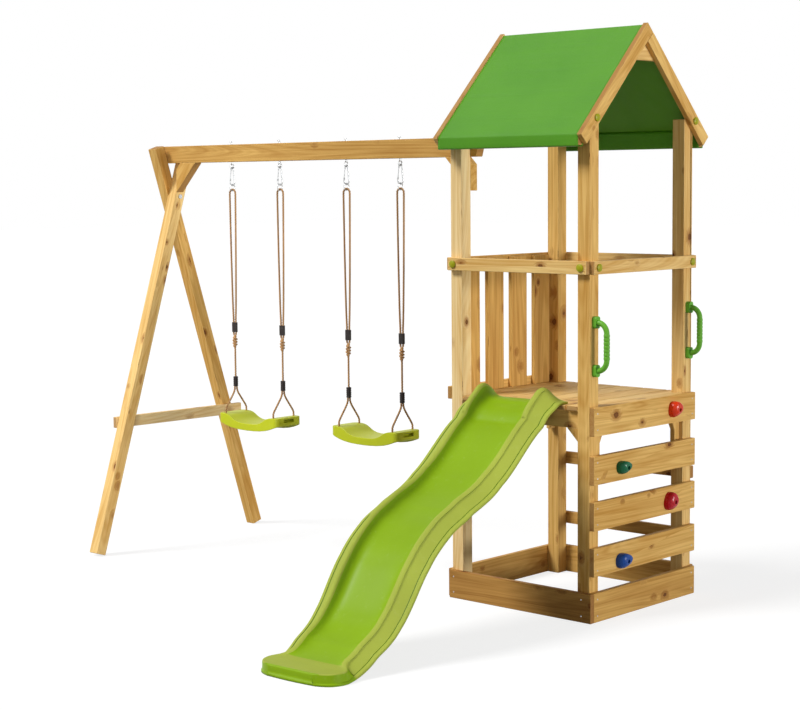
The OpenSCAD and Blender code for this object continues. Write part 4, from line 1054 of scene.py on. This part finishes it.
def screw_mesh(place, normal):
    """A countersunk head with a recess, just proud of the wood."""
    turn = Vector(normal).to_track_quat("Z", "Y").to_matrix()
    spokes = [(math.cos(2 * math.pi * k / SCREW_SIDES), math.sin(2 * math.pi * k / SCREW_SIDES))
              for k in range(SCREW_SIDES)]
    verts = [place + turn @ Vector((r * SCREW_R * a, r * SCREW_R * b, h))
             for r, h in SCREW_RINGS for a, b in spokes]
    faces = []
    for i in range(len(SCREW_RINGS) - 1):
        low, high = i * SCREW_SIDES, (i + 1) * SCREW_SIDES
        for k in range(SCREW_SIDES):
            n = (k + 1) % SCREW_SIDES
            faces.append((low + k, low + n, high + n, high + k))
    faces.append(tuple(range((len(SCREW_RINGS) - 1) * SCREW_SIDES, len(SCREW_RINGS) * SCREW_SIDES)))
    return verts, faces


def make_screws(material):
    """Two screws at each end of the wall boards and base boards."""
    inset = SCREW_INSET * POST
    ends_x = [at(x, 0, 0).x for x in (-TOWER_L + inset, -inset)]
    ends_y = [at(0, y, 0).y for y in (inset, TOWER_W - inset)]
    rows = [(name, 1, 0) for name in ("wall_board_1", "wall_board_2", "wall_board_3", "wall_board_4",
                                      "base_board_wall")]
    rows += [("base_board_slide", 0, -1), ("base_board_ladder", 0, 1), ("base_board_panel", -1, 0)]
    heads = []
    for name, out_x, out_y in rows:
        low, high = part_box(name)
        for end in ends_y if out_x else ends_x:
            for share in SCREW_HEIGHTS:
                z = low.z + share * (high.z - low.z)
                x = end if out_y else high.x if out_x > 0 else low.x
                y = end if out_x else high.y if out_y > 0 else low.y
                heads.append(screw_mesh(Vector((x, y, z)), (out_x, out_y, 0)))
    add_piece("board_screws", merged(*heads), material, "tower")


# Light and stage

FLOOR_HALF = 60.0
FLOOR_Z = -0.0005
FLOOR_GREY = 0.24
FLOOR_GLOW = 0.80
SKY_STRENGTH = 0.24
# A spot that reaches the swing arm past the tower: place and aim from the corner, power, cone in
# degrees, softness of its edge and size
SPOT_PLACE = (-0.4, -2.6, 1.6)
SPOT_AIM = (-2.75, 0.1, 0.9)
SPOT_WATTS = 170.0
SPOT_CONE = 50.0
SPOT_BLEND = 0.8
SPOT_SIZE = 0.5
# Lamps: strength, spread in degrees and the direction they shine from
LAMPS = {
    "key": (3.0, 20.0, (-0.34, -0.58, 0.70)),
    "fill": (2.3, 14.0, (0.97, 0.12, 0.04)),
    "front": (0.25, 30.0, (0.60, -0.78, 0.12)),
}


def make_stage():
    """A pale floor that keeps the shadow, and a white surround."""
    corners = ((-1, -1), (1, -1), (1, 1), (-1, 1))
    data = bpy.data.meshes.new("floor")
    data.from_pydata([(FLOOR_HALF * a, FLOOR_HALF * b, FLOOR_Z) for a, b in corners], [], [(0, 1, 2, 3)])
    floor = bpy.data.objects.new("floor", data)
    bpy.context.scene.collection.objects.link(floor)
    material = bpy.data.materials.new("floor")
    material.use_nodes = True
    tree = material.node_tree
    tree.nodes.clear()
    seen = seen_straight(tree)
    strength = times(tree, seen, FLOOR_GLOW)
    glow = put(tree, "Emission", {"Color": (1, 1, 1, 1), "Strength": strength})
    matt = put(tree, "BsdfDiffuse", {"Color": (FLOOR_GREY, FLOOR_GREY, FLOOR_GREY, 1)})
    both = put(tree, "AddShader", {0: glow.outputs[0], 1: matt.outputs[0]})
    put(tree, "OutputMaterial", {"Surface": both.outputs[0]})
    data.materials.append(material)


def seen_straight(tree):
    """1 for rays from the camera, mirrors and glass."""
    path = put(tree, "LightPath").outputs
    seen = calc(tree, "MAXIMUM", path["Is Camera Ray"], path["Is Glossy Ray"])
    return calc(tree, "MAXIMUM", seen, path["Is Transmission Ray"])


def make_light():
    """Soft light from all round, a high key, a level fill, a faint front light and a spot on the swings."""
    world = bpy.data.worlds.new("studio")
    bpy.context.scene.world = world
    world.use_nodes = True
    tree = world.node_tree
    tree.nodes.clear()
    seen = seen_straight(tree)
    strength = calc(tree, "MULTIPLY_ADD", seen, 1.0 - SKY_STRENGTH, SKY_STRENGTH)
    back = put(tree, "Background", {"Color": (1, 1, 1, 1), "Strength": strength})
    put(tree, "OutputWorld", {"Surface": back.outputs[0]})
    for name, (strength, spread, source) in LAMPS.items():
        data = bpy.data.lights.new(name, "SUN")
        data.energy = strength
        data.angle = math.radians(spread)
        lamp = bpy.data.objects.new(name, data)
        lamp.rotation_euler = Vector(source).to_track_quat("Z", "Y").to_euler()
        bpy.context.scene.collection.objects.link(lamp)
    data = bpy.data.lights.new("swing_spot", "SPOT")
    data.energy = SPOT_WATTS
    data.spot_size = math.radians(SPOT_CONE)
    data.spot_blend = SPOT_BLEND
    data.shadow_soft_size = SPOT_SIZE
    lamp = bpy.data.objects.new("swing_spot", data)
    lamp.location = at(*SPOT_PLACE)
    lamp.rotation_euler = (at(*SPOT_PLACE) - at(*SPOT_AIM)).to_track_quat("Z", "Y").to_euler()
    bpy.context.scene.collection.objects.link(lamp)


make_camera()
rope = laid_fibre("rope_fibre", linear(128, 84, 44), linear(232, 184, 124), linear(190, 140, 88))
# The gap fibre is dark brown: painted shade between the rope's strands
rope_gap = laid_fibre("rope_gap_painted_shade", linear(44, 26, 12), linear(92, 58, 30), linear(66, 42, 22))
steel = zinc("galvanised_steel")
make_ropes(rope, rope_gap)
dress_timber()
make_slide(plastic("slide_plastic", linear(134, 170, 14), 0.40, sheen=0.14),
           plastic("slide_stipple_plastic", linear(164, 176, 70), 0.6, 320.0, 0.0006, 0.12),
           # The groove plastic is darker: painted shade in the panel's grooves
           plastic("slide_groove_painted_shade", linear(84, 112, 4), sheen=0.1))
make_tarp(woven_sheet("roof_weave"))
make_carabiners(steel)
make_screws(steel)

SEAT_ROUND = 0.0028
# Moulded nodes: the material's name, its colour and its roughness
MOULDED = {
    ("seat_near", "seat_far"): ("seat_plastic", linear(182, 190, 30), HALF_GLOSS),
    ("screw_caps",): ("cap_plastic", linear(158, 158, 4), HALF_GLOSS),
    ("grab_handle_near", "grab_handle_far"): ("handle_plastic", linear(98, 168, 44), HALF_GLOSS),
    ("hold_orange",): ("orange_plastic", linear(214, 52, 8), GLOSS),
    ("hold_green",): ("green_plastic", linear(0, 100, 62), GLOSS),
    ("hold_red",): ("red_plastic", linear(184, 4, 28), GLOSS),
    ("hold_blue",): ("blue_plastic", linear(2, 66, 148), GLOSS),
    ("rope_fittings_near", "rope_fittings_far"): ("fitting_plastic", linear(40, 34, 33), HALF_GLOSS),
}
STEEL_NODES = (
    "hold_bolts", "coach_screws", "leg_bolt", "hanger_rods_near", "hanger_rods_far", "rope_rings_near",
    "rope_rings_far", "gate_near_left", "gate_near_right", "gate_far_left", "gate_far_right",
)
for names, (label, colour, roughness) in MOULDED.items():
    made = plastic(label, colour, roughness)
    for name in names:
        finish_node(NODES[name], made)
for name in ("seat_near", "seat_far"):
    soften(NODES[name], SEAT_ROUND, 3)
for name in STEEL_NODES:
    finish_node(NODES[name], steel)

make_stage()
make_light()
bpy.context.scene.view_settings.view_transform = "Standard"
